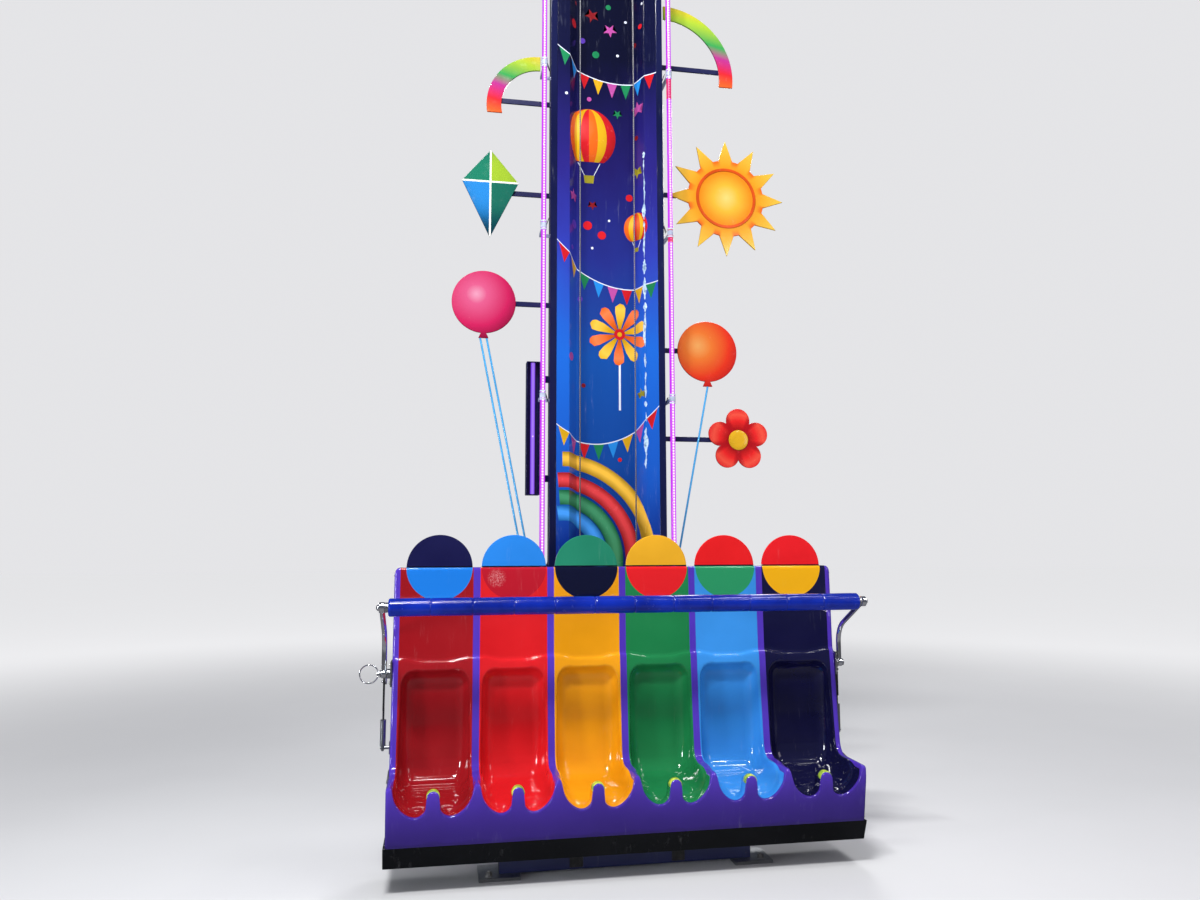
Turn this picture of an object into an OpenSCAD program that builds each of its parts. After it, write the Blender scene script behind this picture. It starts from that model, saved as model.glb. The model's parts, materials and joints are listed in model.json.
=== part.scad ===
// Children's drop tower ride: a steel column, a six-seat bench that slides up and
// down its front, and one lap bar for the whole bench. Millimetres, +Z up, the
// floor at Z = 0, the column centred on the origin and the seats facing -Y.

/* [Base] */
// Half spacing of the anchor holes along X and Y
anchor_half = 690; // [660:5:740]
// Radius of an anchor hole
anchor_hole_r = 11; // [8:1:16]
// Side of a square anchor plate
anchor_plate_w = 200; // [180:5:240]
// Thickness of an anchor plate
anchor_plate_t = 15; // [10:1:18]
// Width of the base beams
beam_w = 80; // [60:5:90]
// Height of the base beams
beam_h = 80; // [60:1:82]
// Wall of the base beams
beam_wall = 6; // [4:1:8]
// Distance of a long base beam from the middle
beam_x = 260; // [220:5:300]

/* [Column] */
// Width of the column
column_w = 610; // [580:5:660]
// Depth of the column
column_d = 400; // [380:5:480]
// Height of the column's top edge
column_top = 6300; // [6200:10:6600]
// Thickness of the column's folded plate
column_wall = 8; // [5:1:12]
// Width of the front channel at its mouth
channel_mouth_w = 460; // [440:5:490]
// Width of the front channel at its floor
channel_floor_w = 350; // [340:5:380]
// Depth of the front channel
channel_d = 80; // [60:5:100]
// Thickness of the column's foot flange
flange_t = 20; // [12:1:25]
// Reach of the foot flange past the column
flange_lip = 75; // [60:5:90]
// Width of a guide rail on the column's side
rail_w = 40; // [36:1:50]
// Depth of a guide rail
rail_d = 80; // [60:5:90]

// Width of the service cover on the column's back
cover_w = 400; // [300:10:500]
// Height of the service cover
cover_h = 1000; // [600:10:1200]
// Height of the service cover's lower edge
cover_z = 400; // [300:10:600]
// Thickness of the service cover
cover_t = 6; // [3:1:10]

/* [Head and ropes] */
// Height of the head housing
head_h = 320; // [300:5:400]
// Wall of the head housing
head_wall = 6; // [4:1:8]
// Distance of a lift rope from the middle
rope_x = 165; // [150:1:170]
// Radius of a lift rope
rope_r = 4; // [3:0.5:5]
// Distance of the front run of a rope behind the column's face
rope_inset = 15; // [12:1:20]
// Radius of a rope's line round its sheave
sheave_r = 120; // [110:1:125]
// Width of a sheave
sheave_w = 30; // [24:1:34]
// Radius of a sheave axle
axle_r = 15; // [10:1:18]

/* [Light bars] */
// Space between a roller cheek and a light bar's clamp
led_clear = 6.5; // [5:0.5:30]
// Radius of a light bar
led_r = 15; // [12:1:16]
// Lower end of the light bars
led_z0 = 330; // [250:10:400]
// Upper end of the light bars
led_z1 = 5950; // [5800:10:6050]
// Height of the lowest light bar bracket
bracket_z0 = 418; // [400:1:440]
// Distance between light bar brackets
bracket_pitch = 1015; // [1000:5:1050]
// Number of brackets on each bar
bracket_n = 6; // [3:1:6]
// Space between the left guide rail and the lamp beside it
lamp_gap = 35; // [30:1:60]
// Width of the lamp's housing
lamp_w = 80; // [60:1:90]
// Depth of the lamp's housing
lamp_d = 70; // [50:1:80]
// Lower end of the lamp
lamp_z0 = 1900; // [1800:10:2000]
// Length of the lamp
lamp_l = 800; // [600:10:900]
// Radius of the lamp's tube
lamp_r = 13; // [8:1:16]

/* [Bench] */
// Number of seats
seat_n = 6; // [2:1:6]
// Distance between seat centres
seat_pitch = 380; // [370:1:400]
// Width of the coloured part of a seat
seat_w = 345; // [335:1:350]
// Half width of the bench
bench_half = 1175; // [1170:1:1195]
// Width of the shell's border at each end
end_rib_w = 30; // [25:1:32]
// Radius of the shell's two upper corners
end_corner_r = 28; // [10:1:30]
// Seat back's front plane, measured along Y
seat_plane_y = -580; // [-600:1:-570]
// Height of the seat back's top edge
back_top_z = 1490; // [1450:1:1520]
// Height of the ledge across the seat backs
ledge_z = 1040; // [1020:1:1060]
// Height of a bucket's top edge
bucket_top_z = 985; // [960:1:1000]
// Height of a bucket's seat at its back
pan_back_z = 428; // [420:1:440]
// Height of a bucket's seat at its front
pan_front_z = 396; // [390:1:405]
// Half width of a bucket
bucket_half = 150; // [140:1:155]
// Corner radius of a bucket's top
bucket_corner = 65; // [40:1:80]
// Reach of the bench in front of the seat plane
nose_reach = 345; // [335:1:360]
// Height of the ridges between the seats
ridge_z = 502; // [495:1:515]
// Height of the purple skirt's lower edge
skirt_z = 227; // [215:1:240]
// Height of the bench's lowest edge
bench_z = 125; // [122:1:140]
// Thickness of the skirt
skirt_t = 20; // [14:1:22]
// Height of the bottom of a leg scoop
scoop_z = 360; // [355:1:370]
// Radius of a leg scoop
scoop_r = 46; // [42:1:50]
// Half width of the post between the leg scoops
post_half = 27; // [24:1:30]
// Height of the post's tip
post_top_z = 478; // [470:1:485]
// Depth of the post
post_d = 80; // [60:1:90]
// Depth of the cap on a post's tip
tip_d = 42; // [35:1:50]
// Radius of a back disc
disc_r = 167; // [150:1:170]
// Thickness of a back disc
disc_t = 12; // [8:1:16]

/* [Lap bar] */
// Height of the lap bar's pivots
pivot_z = 965; // [955:1:975]
// Pivots behind the seat plane
pivot_y = 20; // [10:1:30]
// Space between the bench's end and an arm
arm_clear = 27; // [20:1:50]
// Bar centre in front of the seat plane, bar raised
bar_reach = 280; // [270:1:300]
// Bar centre's height, bar raised
bar_z = 1310; // [1290:1:1330]
// Outer radius of the bar's padding
pad_r = 44; // [40:1:48]
// Radius of the bar's steel tube
bar_r = 24; // [20:1:26]
// Wall of the bar's steel tube
bar_wall = 4; // [3:1:6]
// Space between the padding and an arm
pad_end_gap = 17; // [10:1:40]
// Radius of an arm's tube
arm_r = 13; // [11:1:14]
// Bend radius of an arm
arm_bend = 130; // [110:5:150]
// Height of an arm's knee above its pivot
arm_knee = 185; // [170:5:200]
// Radius of a pivot pin
pin_r = 10; // [8:1:11]
// Length of the lever that works the strut
lever_r = 60; // [50:1:64]
// Swing of the lap bar in degrees
bar_swing = 95; // [85:1:98]
// Height of the strut's lower eye
strut_z = 600; // [590:1:615]
// Radius of the strut's cylinder
strut_r = 14; // [12:1:15]
// Length of the strut's cylinder
strut_body = 130; // [125:1:135]
// Half height of the strut's foot plate
strut_foot = 30; // [26:1:34]

/* [Carriage] */
// Radius of a front guide roller
roller_r = 40; // [35:1:45]
// Radius of a rear guide roller
rear_roller_r = 25; // [22:1:28]
// Distance of the inner roller cheeks from the middle
inner_cheek_x = 224; // [215:1:232]
// Thickness of a roller cheek
cheek_t = 10; // [8:1:10]
// Height of the lower rollers
roller_z0 = 375; // [360:1:400]
// Height of the upper rollers
roller_z1 = 1275; // [1240:1:1300]
// Half length of the cross tubes
cross_half = 1000; // [900:10:1100]
// Width of a cross tube
cross_w = 60; // [50:1:80]
// Height of the lowest cross tube
cross_z0 = 300; // [260:5:340]
// Distance between the cross tubes
cross_pitch = 500; // [440:5:520]
// Distance of an upright's inner side from the middle
upright_x = 240; // [236:1:250]
// Width of an upright
upright_w = 80; // [60:1:90]
// Middle height of the rope clamps
clamp_z = 800; // [700:10:900]

/* [Scenery] */
// Thickness of the painted cut-outs
cutout_t = 12; // [8:1:15]
// Rear face of the cut-outs along Y
cutout_y = -12; // [-20:1:-5]
// Height of a cut-out bracket
cutout_bar_h = 30; // [20:1:40]
// Place of the kite's middle in X and Z
kite_at = [-690, 3740];
// Half width of the kite
kite_half = 170; // [140:5:200]
// Height of the kite's upper part
kite_up = 260; // [220:5:280]
// Height of the kite's lower part
kite_down = 290; // [250:5:320]
// Place of the pink balloon's middle in X and Z
pink_at = [-720, 3050];
// Place of the orange balloon's middle in X and Z
orange_at = [660, 2800];
// Radius of the two balloons
balloon_r = 190; // [170:1:200]
// Place of the sun's middle in X and Z
sun_at = [800, 3800];
// Radius of the sun's disc
sun_r = 250; // [220:1:270]
// Length of a sun ray
ray_l = 130; // [100:5:150]
// Number of sun rays
sun_rays = 12; // [8:1:16]
// Place of the flower's middle in X and Z
flower_at = [850, 2250];
// Radius of a flower petal
petal_r = 75; // [65:1:80]
// Number of flower petals
petals = 5; // [5:1:6]
// Centre and outer radius of the left arc in X and Z
left_arc = [-390, 4300, 330];
// Centre and outer radius of the right arc in X and Z
right_arc = [400, 4600, 460];
// Width of an arc's band
arc_w = 90; // [70:5:110]
// Height of the stays' lower ends
stay_z = 1480; // [1450:5:1520]
// Radius of a stay
stay_r = 6; // [5:0.5:7]

/* [Hidden] */
$fn = 64;
gap = 0.3;
clamp_t = 3.5;
running = 5;
beam_top = anchor_plate_t + beam_h;
column_z0 = beam_top;
front_y = -column_d / 2;
channel_run = (channel_mouth_w - channel_floor_w) / 2;
channel_slant = sqrt(channel_run * channel_run + channel_d * channel_d);
miter = column_wall * (channel_slant - channel_run) / channel_d;
rail_x0 = column_w / 2;
rail_x1 = rail_x0 + rail_w;
rope_y = front_y + rope_inset;
sheave_y = rope_y + sheave_r;
head_sheave_z = column_top + 120;
foot_sheave_z = column_z0 + flange_t + sheave_r + 60;
groove_r = sheave_r - rope_r - gap;
led_y = front_y;
clamp_r = led_r + clamp_t;
cheek_x0 = rail_x1 + running;
cheek_x1 = cheek_x0 + cheek_t;
led_x = cheek_x1 + led_clear + clamp_r;
rear_roller_y = front_y + rail_d + gap + rear_roller_r;
front_roller_y = front_y - gap - roller_r;
bracket_leg_y = rear_roller_y + rear_roller_r + 40;
bracket_t = 6;
lamp_x = -rail_x1 - lamp_gap;
lamp_y = bracket_leg_y + bracket_t + running;
lamp_wall = 5;
bench_back = 75;
panel_t = 5;
carriage_y1 = seat_plane_y + bench_back + panel_t;
upright_d = 60;
tube_d = 40;
cheek_half = 75;
clamp_h = 120;
seat_inner_y = skirt_t - nose_reach;
body_wall = 12;
scoop_slope = 12;
arm_side = bench_half + arm_clear;
arm_x = arm_side + arm_r;
pad_half = arm_side - pad_end_gap;
lever_rest = -bar_swing / 2;
lever_y = pivot_y + lever_r * cos(lever_rest);
lever_z = pivot_z + lever_r * sin(lever_rest);
lever_dip = lever_r * (1 - cos(bar_swing / 2));
slot_half = 8.5;
lever_pin_r = 6;
lever_t = 8;
cutout_front = cutout_y - cutout_t;
cutout_bar_t = 12;
ring_r = 45;
ring_wire = 3;
ring_eye_x = -arm_x - arm_r - 15;

seat_colors = ["firebrick", "red", "orange", "green", "deepskyblue", "midnightblue"];

// A flat outline in Y and Z, pushed along X from x0 to x1
module along_x(x0, x1) {
    translate([x0, 0, 0]) rotate([90, 0, 90]) linear_extrude(x1 - x0) children();
}

// A flat outline in X and Z, pushed along Y from y0 to y1
module along_y(y0, y1) {
    translate([0, y1, 0]) rotate([90, 0, 0]) linear_extrude(y1 - y0) children();
}

// A flat outline in X and Y, pushed up from z0 to z1
module along_z(z0, z1) {
    translate([0, 0, z0]) linear_extrude(z1 - z0) children();
}

// A box from its lowest to its highest corner
module block(a, b) {
    translate(a) cube(b - a);
}

// What a top corner of radius r takes off, on both ends of a half width and height
module corner_waste(half, top, r, y0, y1) {
    both_sides()
        along_y(y0, y1)
            difference() {
                translate([half - r, top - r]) square(r + 1);
                translate([half - r, top - r]) circle(r = r);
            }
}

// A round bar along X
module bar_x(x0, x1, y, z, r) {
    translate([x0, y, z]) rotate([0, 90, 0]) cylinder(r = r, h = x1 - x0);
}

// The same shape on the left and on the right
module both_sides() {
    children();
    mirror([1, 0, 0]) children();
}

function unit(v) = v / norm(v);

// The points of one rounded corner b between its neighbours a and c
function corner(a, b, c, r, steps = 6) =
    let (u = unit(a - b), v = unit(c - b), half = acos(u * v) / 2)
    let (centre = b + unit(u + v) * r / sin(half), run = r / tan(half))
    let (p = b + u * run - centre, q = b + v * run - centre)
    let (a0 = atan2(p[1], p[0]), turn = atan2(p[0] * q[1] - p[1] * q[0], p * q))
    [for (i = [0 : steps]) centre + r * [cos(a0 + turn * i / steps), sin(a0 + turn * i / steps)]];

// An outline whose points are [y, z, corner radius]
function rounded(points) =
    let (n = len(points))
    [for (i = [0 : n - 1])
        let (p = points[i], before = points[(i + n - 1) % n], after = points[(i + 1) % n])
        each (p[2] == 0 ? [[p[0], p[1]]]
            : corner([before[0], before[1]], [p[0], p[1]], [after[0], after[1]], p[2]))];

// Front of the skirt at height z
function skirt_y(z) = -nose_reach + (ridge_z - 62 - z) * 0.174;

function seat_x(i) = (i - (seat_n - 1) / 2) * seat_pitch;

// A seat fills the space between its two ribs, and an end seat reaches the end wall
function seat_left(i) = i == 0 ? end_rib_w - bench_half : seat_x(i) - seat_w / 2;
function seat_right(i) = i == seat_n - 1 ? bench_half - end_rib_w : seat_x(i) + seat_w / 2;

// The bench's front line from its top edge to the front of a ridge
function proud_line(front) = [
    [22, back_top_z, 0],
    [12, back_top_z - 12, 5],
    [0, ledge_z + 10, 8],
    [10, ledge_z - 14, 8],
    [-14, ledge_z - 235, 0],
    [-66, ridge_z + 3, 60],
    [front, ridge_z, 0]
];

// Half of the front plate's line, moved back by its thickness or not
function fold_line(back) =
    let (m = back ? miter : 0, y = front_y + (back ? column_wall : 0))
    [[channel_floor_w / 2 + m, y + channel_d], [channel_mouth_w / 2 + m, y], [column_w / 2, y]];

function reversed(points) = [for (i = [len(points) - 1 : -1 : 0]) points[i]];

function mirrored(points) = [for (p = points) [-p[0], p[1]]];

module base_frame() {
    color("dimgray")
    difference() {
        union() {
            both_sides()
                block([beam_x - beam_w / 2, -anchor_half + 10, anchor_plate_t],
                    [beam_x + beam_w / 2, anchor_half - 10, beam_top]);
            for (s = [-1, 1])
                block([-anchor_half + 50, s * (anchor_half - 50) - beam_w / 2, anchor_plate_t],
                    [anchor_half - 50, s * (anchor_half - 50) + beam_w / 2, beam_top]);
        }
        both_sides()
            block([beam_x - beam_w / 2 + beam_wall, -anchor_half, anchor_plate_t + beam_wall],
                [beam_x + beam_w / 2 - beam_wall, anchor_half, beam_top - beam_wall]);
        for (s = [-1, 1])
            block([-anchor_half, s * (anchor_half - 50) - beam_w / 2 + beam_wall, anchor_plate_t + beam_wall],
                [anchor_half, s * (anchor_half - 50) + beam_w / 2 - beam_wall, beam_top - beam_wall]);
    }
}

module anchor_plates() {
    color("gray")
    for (x = [-1, 1], y = [-1, 1])
        difference() {
            translate([x * (anchor_half - 50), y * (anchor_half - 50), anchor_plate_t / 2])
                cube([anchor_plate_w, anchor_plate_w, anchor_plate_t], center = true);
            translate([x * anchor_half, y * anchor_half, -1])
                cylinder(r = anchor_hole_r, h = anchor_plate_t + 2);
        }
}

// The column's sides and back, one folded plate on the foot flange
module column() {
    half = column_w / 2;
    color("midnightblue")
    difference() {
        union() {
            along_z(column_z0 + flange_t - 1, column_top) polygon([
                [-half, front_y + column_wall], [-half, -front_y], [half, -front_y],
                [half, front_y + column_wall], [half - column_wall, front_y + column_wall],
                [half - column_wall, -front_y - column_wall], [column_wall - half, -front_y - column_wall],
                [column_wall - half, front_y + column_wall]
            ]);
            block([-half - flange_lip, front_y - 40, column_z0],
                [half + flange_lip, -front_y + flange_lip, column_z0 + flange_t]);
        }
        bar_x(-column_w, column_w, sheave_y, foot_sheave_z, axle_r + gap);
    }
}

// The folded front plate with the channel that the ropes and rollers run in
module front_plate() {
    window = sheave_r + rope_r + 20;
    color("darkslateblue")
    difference() {
        along_z(column_z0 + flange_t, column_top)
            polygon(concat(
                mirrored(reversed(fold_line(false))), fold_line(false),
                reversed(fold_line(true)), mirrored(fold_line(true))));
        both_sides()
            block([rope_x - sheave_w, front_y + 1, foot_sheave_z - window],
                [rope_x + sheave_w, front_y + channel_d + column_wall + 1, foot_sheave_z + window]);
    }
}

module guide_rails() {
    color("darkblue")
    both_sides()
        block([rail_x0, front_y, column_z0 + flange_t], [rail_x1, front_y + rail_d, column_top]);
}

module head_housing() {
    color("midnightblue")
    difference() {
        block([-column_w / 2, front_y, column_top], [column_w / 2, -front_y, column_top + head_h]);
        block([-column_w / 2 + head_wall, front_y + head_wall, column_top - 1],
            [column_w / 2 - head_wall, -front_y - head_wall, column_top + head_h - head_wall]);
        bar_x(-column_w, column_w, sheave_y, head_sheave_z, axle_r + gap);
    }
}

// Two grooved sheaves on one axle
module sheave_pair(z) {
    groove = rope_r + 1;
    translate([0, sheave_y, z]) rotate([0, 90, 0]) {
        cylinder(r = axle_r, h = column_w, center = true);
        for (s = [-1, 1])
            translate([0, 0, s * rope_x]) rotate_extrude()
                difference() {
                    translate([axle_r - 1, -sheave_w / 2]) square([groove_r + 12 - axle_r, sheave_w]);
                    translate([groove_r + groove, 0]) circle(r = groove);
                    translate([groove_r + groove, -groove]) square([20, 2 * groove]);
                }
    }
}

module head_sheaves() {
    color("silver") sheave_pair(head_sheave_z);
}

module foot_sheaves() {
    color("silver") sheave_pair(foot_sheave_z);
}

module lift_ropes() {
    color("darkgray")
    both_sides() translate([rope_x, sheave_y, 0]) {
        for (s = [-1, 1])
            translate([0, s * sheave_r, foot_sheave_z])
                cylinder(r = rope_r, h = head_sheave_z - foot_sheave_z);
        translate([0, 0, head_sheave_z]) rotate([90, 0, 90])
            rotate_extrude(angle = 180) translate([sheave_r, 0]) circle(r = rope_r);
        translate([0, 0, foot_sheave_z]) rotate([90, 0, 90]) rotate([0, 0, 180])
            rotate_extrude(angle = 180) translate([sheave_r, 0]) circle(r = rope_r);
    }
}

module service_cover() {
    color("darkblue")
    block([-cover_w / 2, -front_y, cover_z], [cover_w / 2, -front_y + cover_t, cover_z + cover_h]);
}

module led_bars() {
    color("violet")
    both_sides() translate([led_x, led_y, led_z0]) cylinder(r = led_r, h = led_z1 - led_z0);
}

module led_brackets() {
    arm_w = 14;
    color("gray")
    both_sides()
        for (i = [0 : bracket_n - 1])
            translate([0, 0, bracket_z0 + i * bracket_pitch])
                difference() {
                    union() {
                        translate([led_x, led_y, 0]) cylinder(r = clamp_r, h = 30);
                        block([led_x - arm_w / 2, led_y + led_r, 5],
                            [led_x + arm_w / 2, bracket_leg_y + bracket_t, 25]);
                        block([rail_x0, bracket_leg_y, 5],
                            [led_x + arm_w / 2, bracket_leg_y + bracket_t, 25]);
                    }
                    translate([led_x, led_y, -1]) cylinder(r = led_r + 0.1, h = 32);
                }
}

// An open box on two lugs, with one tube standing in it
module lamp_housing() {
    lug_h = 40;
    color("midnightblue") {
        difference() {
            block([lamp_x - lamp_w, lamp_y, lamp_z0], [lamp_x, lamp_y + lamp_d, lamp_z0 + lamp_l]);
            block([lamp_x - lamp_w + lamp_wall, lamp_y - 1, lamp_z0 + lamp_wall],
                [lamp_x - lamp_wall, lamp_y + lamp_d - lamp_wall, lamp_z0 + lamp_l - lamp_wall]);
        }
        for (z = [lamp_z0 + 2 * lug_h, lamp_z0 + lamp_l - 3 * lug_h])
            block([lamp_x, lamp_y + 30, z], [-rail_x0, lamp_y + 50, z + lug_h]);
    }
}

module lamp_tube() {
    color("violet")
    translate([lamp_x - lamp_w / 2, lamp_y + lamp_d / 2, lamp_z0 + lamp_wall])
        cylinder(r = lamp_r, h = lamp_l - 2 * lamp_wall);
}

// A painted cut-out in its own plane
module cutout() {
    along_y(cutout_front, cutout_y) children();
}

module kite() {
    color("green")
    cutout() translate(kite_at)
        polygon([[0, kite_up], [kite_half, kite_up * 0.23], [0, -kite_down], [-kite_half, kite_up * 0.23]]);
}

// A round balloon with its knot below
module balloon(at) {
    knot_w = balloon_r * 0.16;
    cutout() translate(at) circle(r = balloon_r);
    cutout() translate(at)
        polygon([[0, -balloon_r * 0.8], [knot_w, -balloon_r - knot_w], [-knot_w, -balloon_r - knot_w]]);
}

module pink_balloon() {
    color("hotpink") balloon(pink_at);
}

module orange_balloon() {
    color("orangered") balloon(orange_at);
}

module sun() {
    color("gold")
    cutout() translate(sun_at) {
        circle(r = sun_r);
        for (i = [0 : sun_rays - 1])
            rotate(i * 360 / sun_rays)
                polygon([[-sun_r * 0.2, sun_r * 0.95], [sun_r * 0.2, sun_r * 0.95], [0, sun_r + ray_l]]);
    }
}

module flower() {
    color("red")
    cutout() translate(flower_at) {
        circle(r = petal_r * 1.07);
        for (i = [0 : petals - 1])
            rotate(i * 360 / petals + 90) translate([petal_r * 1.6, 0]) circle(r = petal_r);
    }
}

// A quarter of a ring, on the left or right of its centre
module arc_outline(arc, side) {
    translate([arc[0], arc[1]])
        intersection() {
            difference() {
                circle(r = arc[2]);
                circle(r = arc[2] - arc_w);
            }
            translate([side < 0 ? -arc[2] - 1 : 0, -arc_w * 0.6]) square([arc[2] + 1, arc[2] * 2]);
        }
}

module rainbow_arcs() {
    color("limegreen") {
        cutout() arc_outline(left_arc, -1);
        cutout() arc_outline(right_arc, 1);
    }
}

// A straight rod in the cut-outs' plane between two points of X and Z
module stay(a, b) {
    d = b - a;
    translate([a[0], cutout_y - cutout_t / 2, a[1]])
        rotate([0, atan2(d[0], d[1]), 0]) cylinder(r = stay_r, h = norm(d) - stay_r * abs(d[0] / d[1]));
}

// The stays run from the lower bracket up to the balloons' knots
module scenery_stays() {
    foot = rail_x1 + 105;
    knot = balloon_r * 1.16 + gap;
    spread = balloon_r * 0.1;
    color("lightskyblue") {
        stay([-foot - spread, stay_z], pink_at - [spread, knot]);
        stay([-foot + spread, stay_z], pink_at + [spread, -knot]);
        stay([foot, stay_z], orange_at - [0, knot]);
    }
}

// A flat bar behind a cut-out, from the column's side to the place that it carries
module scenery_bracket(at) {
    x = abs(at[0]) + cutout_bar_h;
    mirror([at[0] < 0 ? 1 : 0, 0, 0])
        block([rail_x0, cutout_y, at[1] - cutout_bar_h / 2],
            [x, cutout_y + cutout_bar_t, at[1] + cutout_bar_h / 2]);
}

module scenery_brackets() {
    color("darkblue")
    for (at = [
        kite_at, pink_at, orange_at, sun_at, flower_at,
        [-rail_x1 - 105, stay_z], [rail_x1 + 105, stay_z],
        [left_arc[0] - left_arc[2] + arc_w, left_arc[1] + 30],
        [right_arc[0] + right_arc[2] - arc_w, right_arc[1] + 50]])
        scenery_bracket(at);
}

module roller_station(z) {
    both_sides() translate([0, 0, z]) {
        difference() {
            union() {
                block([cheek_x0, carriage_y1 + tube_d, -cheek_half], [cheek_x1, rear_roller_y, cheek_half]);
                bar_x(cheek_x0, cheek_x1, rear_roller_y, 0, 34);
                block([inner_cheek_x, carriage_y1 + tube_d, -cheek_half],
                    [inner_cheek_x + cheek_t, front_y - 15, cheek_half]);
                block([inner_cheek_x, carriage_y1 + tube_d, -cheek_half],
                    [cheek_x1, carriage_y1 + upright_d, cheek_half]);
            }
            bar_x(0, cheek_x1 + 1, front_roller_y, 0, 10.1);
            bar_x(cheek_x0 - 1, cheek_x1 + 1, rear_roller_y, 0, 8.1);
        }
    }
}

module carriage_frame() {
    color("darkblue") {
        both_sides()
            block([upright_x, carriage_y1, cross_z0 - cross_w],
                [upright_x + upright_w, carriage_y1 + tube_d, cross_z0 + 2 * cross_pitch + 2 * cross_w]);
        for (z = [0 : 2])
            block([-cross_half, carriage_y1, cross_z0 + z * cross_pitch - cross_w / 2],
                [cross_half, carriage_y1 + tube_d, cross_z0 + z * cross_pitch + cross_w / 2]);
        roller_station(roller_z0);
        roller_station(roller_z1);
    }
}

module guide_rollers() {
    color("black")
    both_sides()
        for (z = [roller_z0, roller_z1]) {
            bar_x(inner_cheek_x + cheek_t + 6, cheek_x0 - 50, front_roller_y, z, roller_r);
            bar_x(inner_cheek_x, cheek_x1, front_roller_y, z, 10);
            bar_x(rail_x0 + running, cheek_x0 - 3, rear_roller_y, z, rear_roller_r);
            bar_x(rail_x0 + running, cheek_x1, rear_roller_y, z, 8);
        }
}

module rope_clamps() {
    slot = rope_r + running + 0.5;
    color("silver")
    both_sides()
        difference() {
            block([rope_x - 20, carriage_y1 + tube_d, clamp_z - clamp_h / 2],
                [rope_x + 20, rope_y + 13, clamp_z + clamp_h / 2]);
            translate([rope_x, rope_y, clamp_z - clamp_h]) cylinder(r = slot, h = 2 * clamp_h);
            block([rope_x - slot, rope_y, clamp_z - clamp_h],
                [rope_x + slot, rope_y + 20, clamp_z + clamp_h]);
        }
}

// The scalloped line that the leg scoops and the post between them cut, as the space above it
module leg_space() {
    cx = post_half + scoop_r;
    cz = scoop_z + scoop_r;
    edge = [seat_w / 2, ridge_z - 12];
    d = [cx, cz] - edge;
    reach = norm(d);
    lean = atan2(d[1], d[0]) + asin(scoop_r / reach);
    touch = edge + sqrt(reach * reach - scoop_r * scoop_r) * [cos(lean), sin(lean)];
    difference() {
        union() {
            polygon([
                [-edge[0], ridge_z + 100], [-edge[0], edge[1]], [-touch[0], touch[1]], [-cx, cz],
                [cx, cz], [touch[0], touch[1]], edge, [edge[0], ridge_z + 100]
            ]);
            for (s = [-1, 1]) translate([s * cx, cz]) circle(r = scoop_r);
        }
        translate([-post_half, scoop_z - 50])
            square([2 * post_half, post_top_z - post_half - scoop_z + 50]);
        translate([0, post_top_z - post_half]) circle(r = post_half);
    }
}

module bucket_outline() {
    w = bucket_half - bucket_corner;
    translate([-bucket_half, 300]) square([2 * bucket_half, bucket_top_z - bucket_corner - 300]);
    translate([-w, 300]) square([2 * w, bucket_top_z - 300]);
    for (s = [-1, 1]) translate([s * w, bucket_top_z - bucket_corner]) circle(r = bucket_corner);
}

module seat(i) {
    low = scoop_z - body_wall;
    translate([seat_x(i), seat_plane_y, 0])
    difference() {
        along_x(seat_left(i) - seat_x(i), seat_right(i) - seat_x(i)) polygon(rounded(concat(
            proud_line(seat_inner_y),
            [[seat_inner_y, ridge_z - 62, 0], [skirt_y(low) + skirt_t, low, 0],
             [-140, low, 0], [20, pan_back_z - 24, 60], [bench_back, 600, 60],
             [bench_back, back_top_z, 0]])));
        intersection() {
            along_x(-bucket_half - 1, bucket_half + 1) polygon(rounded([
                [62, ledge_z + 60, 0], [54, ledge_z - 235, 0], [12, pan_back_z, 100],
                [seat_inner_y + post_d - skirt_t, pan_front_z, 0],
                [seat_inner_y + post_d - skirt_t, ledge_z + 60, 0]]));
            along_y(-400, 100) bucket_outline();
        }
        scoop_run() along_y(-60, post_d) leg_space();
        scoop_run() along_y(post_d - 1, post_d + 150) leg_space_open();
    }
}

// The scoops rise from the front edge back to the pan
module scoop_run() {
    translate([0, -nose_reach, scoop_z]) rotate([scoop_slope, 0, 0]) translate([0, 0, -scoop_z])
        children();
}

// The leg space without the post
module leg_space_open() {
    leg_space();
    translate([-post_half - scoop_r, scoop_z + scoop_r]) square([2 * (post_half + scoop_r), 150]);
}

// The one-piece shell: ribs between the seats, two closed ends and the scalloped skirt
module bench_shell() {
    color("blueviolet")
    translate([0, seat_plane_y, 0])
        difference() {
            along_x(-bench_half, bench_half) rib_profile();
            for (i = [0 : seat_n - 1])
                along_x(seat_left(i), seat_right(i)) polygon([
                    [seat_inner_y, back_top_z + 1], [seat_inner_y, ridge_z - 62],
                    [skirt_y(skirt_z - 1) + skirt_t, skirt_z - 1], [bench_back + 1, skirt_z - 1],
                    [bench_back + 1, back_top_z + 1]]);
            for (i = [0 : seat_n - 1])
                translate([seat_x(i), 0, 0])
                    along_y(-nose_reach - 10, skirt_y(scoop_z) + skirt_t + 1) leg_space();
            corner_waste(bench_half, back_top_z, end_corner_r, -50, bench_back + 1);
        }
}

module rib_profile() {
    polygon(rounded(concat(
        proud_line(-nose_reach + 22),
        [[-nose_reach, ridge_z - 24, 20], [-nose_reach, ridge_z - 62, 0], [skirt_y(skirt_z), skirt_z, 0],
         [bench_back, skirt_z, 0], [bench_back, back_top_z, 0]])));
}

module back_panel() {
    color("indigo")
    translate([0, seat_plane_y + bench_back, 0])
        difference() {
            block([-bench_half + 5, 0, skirt_z + 5], [bench_half - 5, panel_t, back_top_z - 3]);
            corner_waste(bench_half - 5, back_top_z - 3, end_corner_r - 4, -1, panel_t + 1);
        }
}

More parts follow.
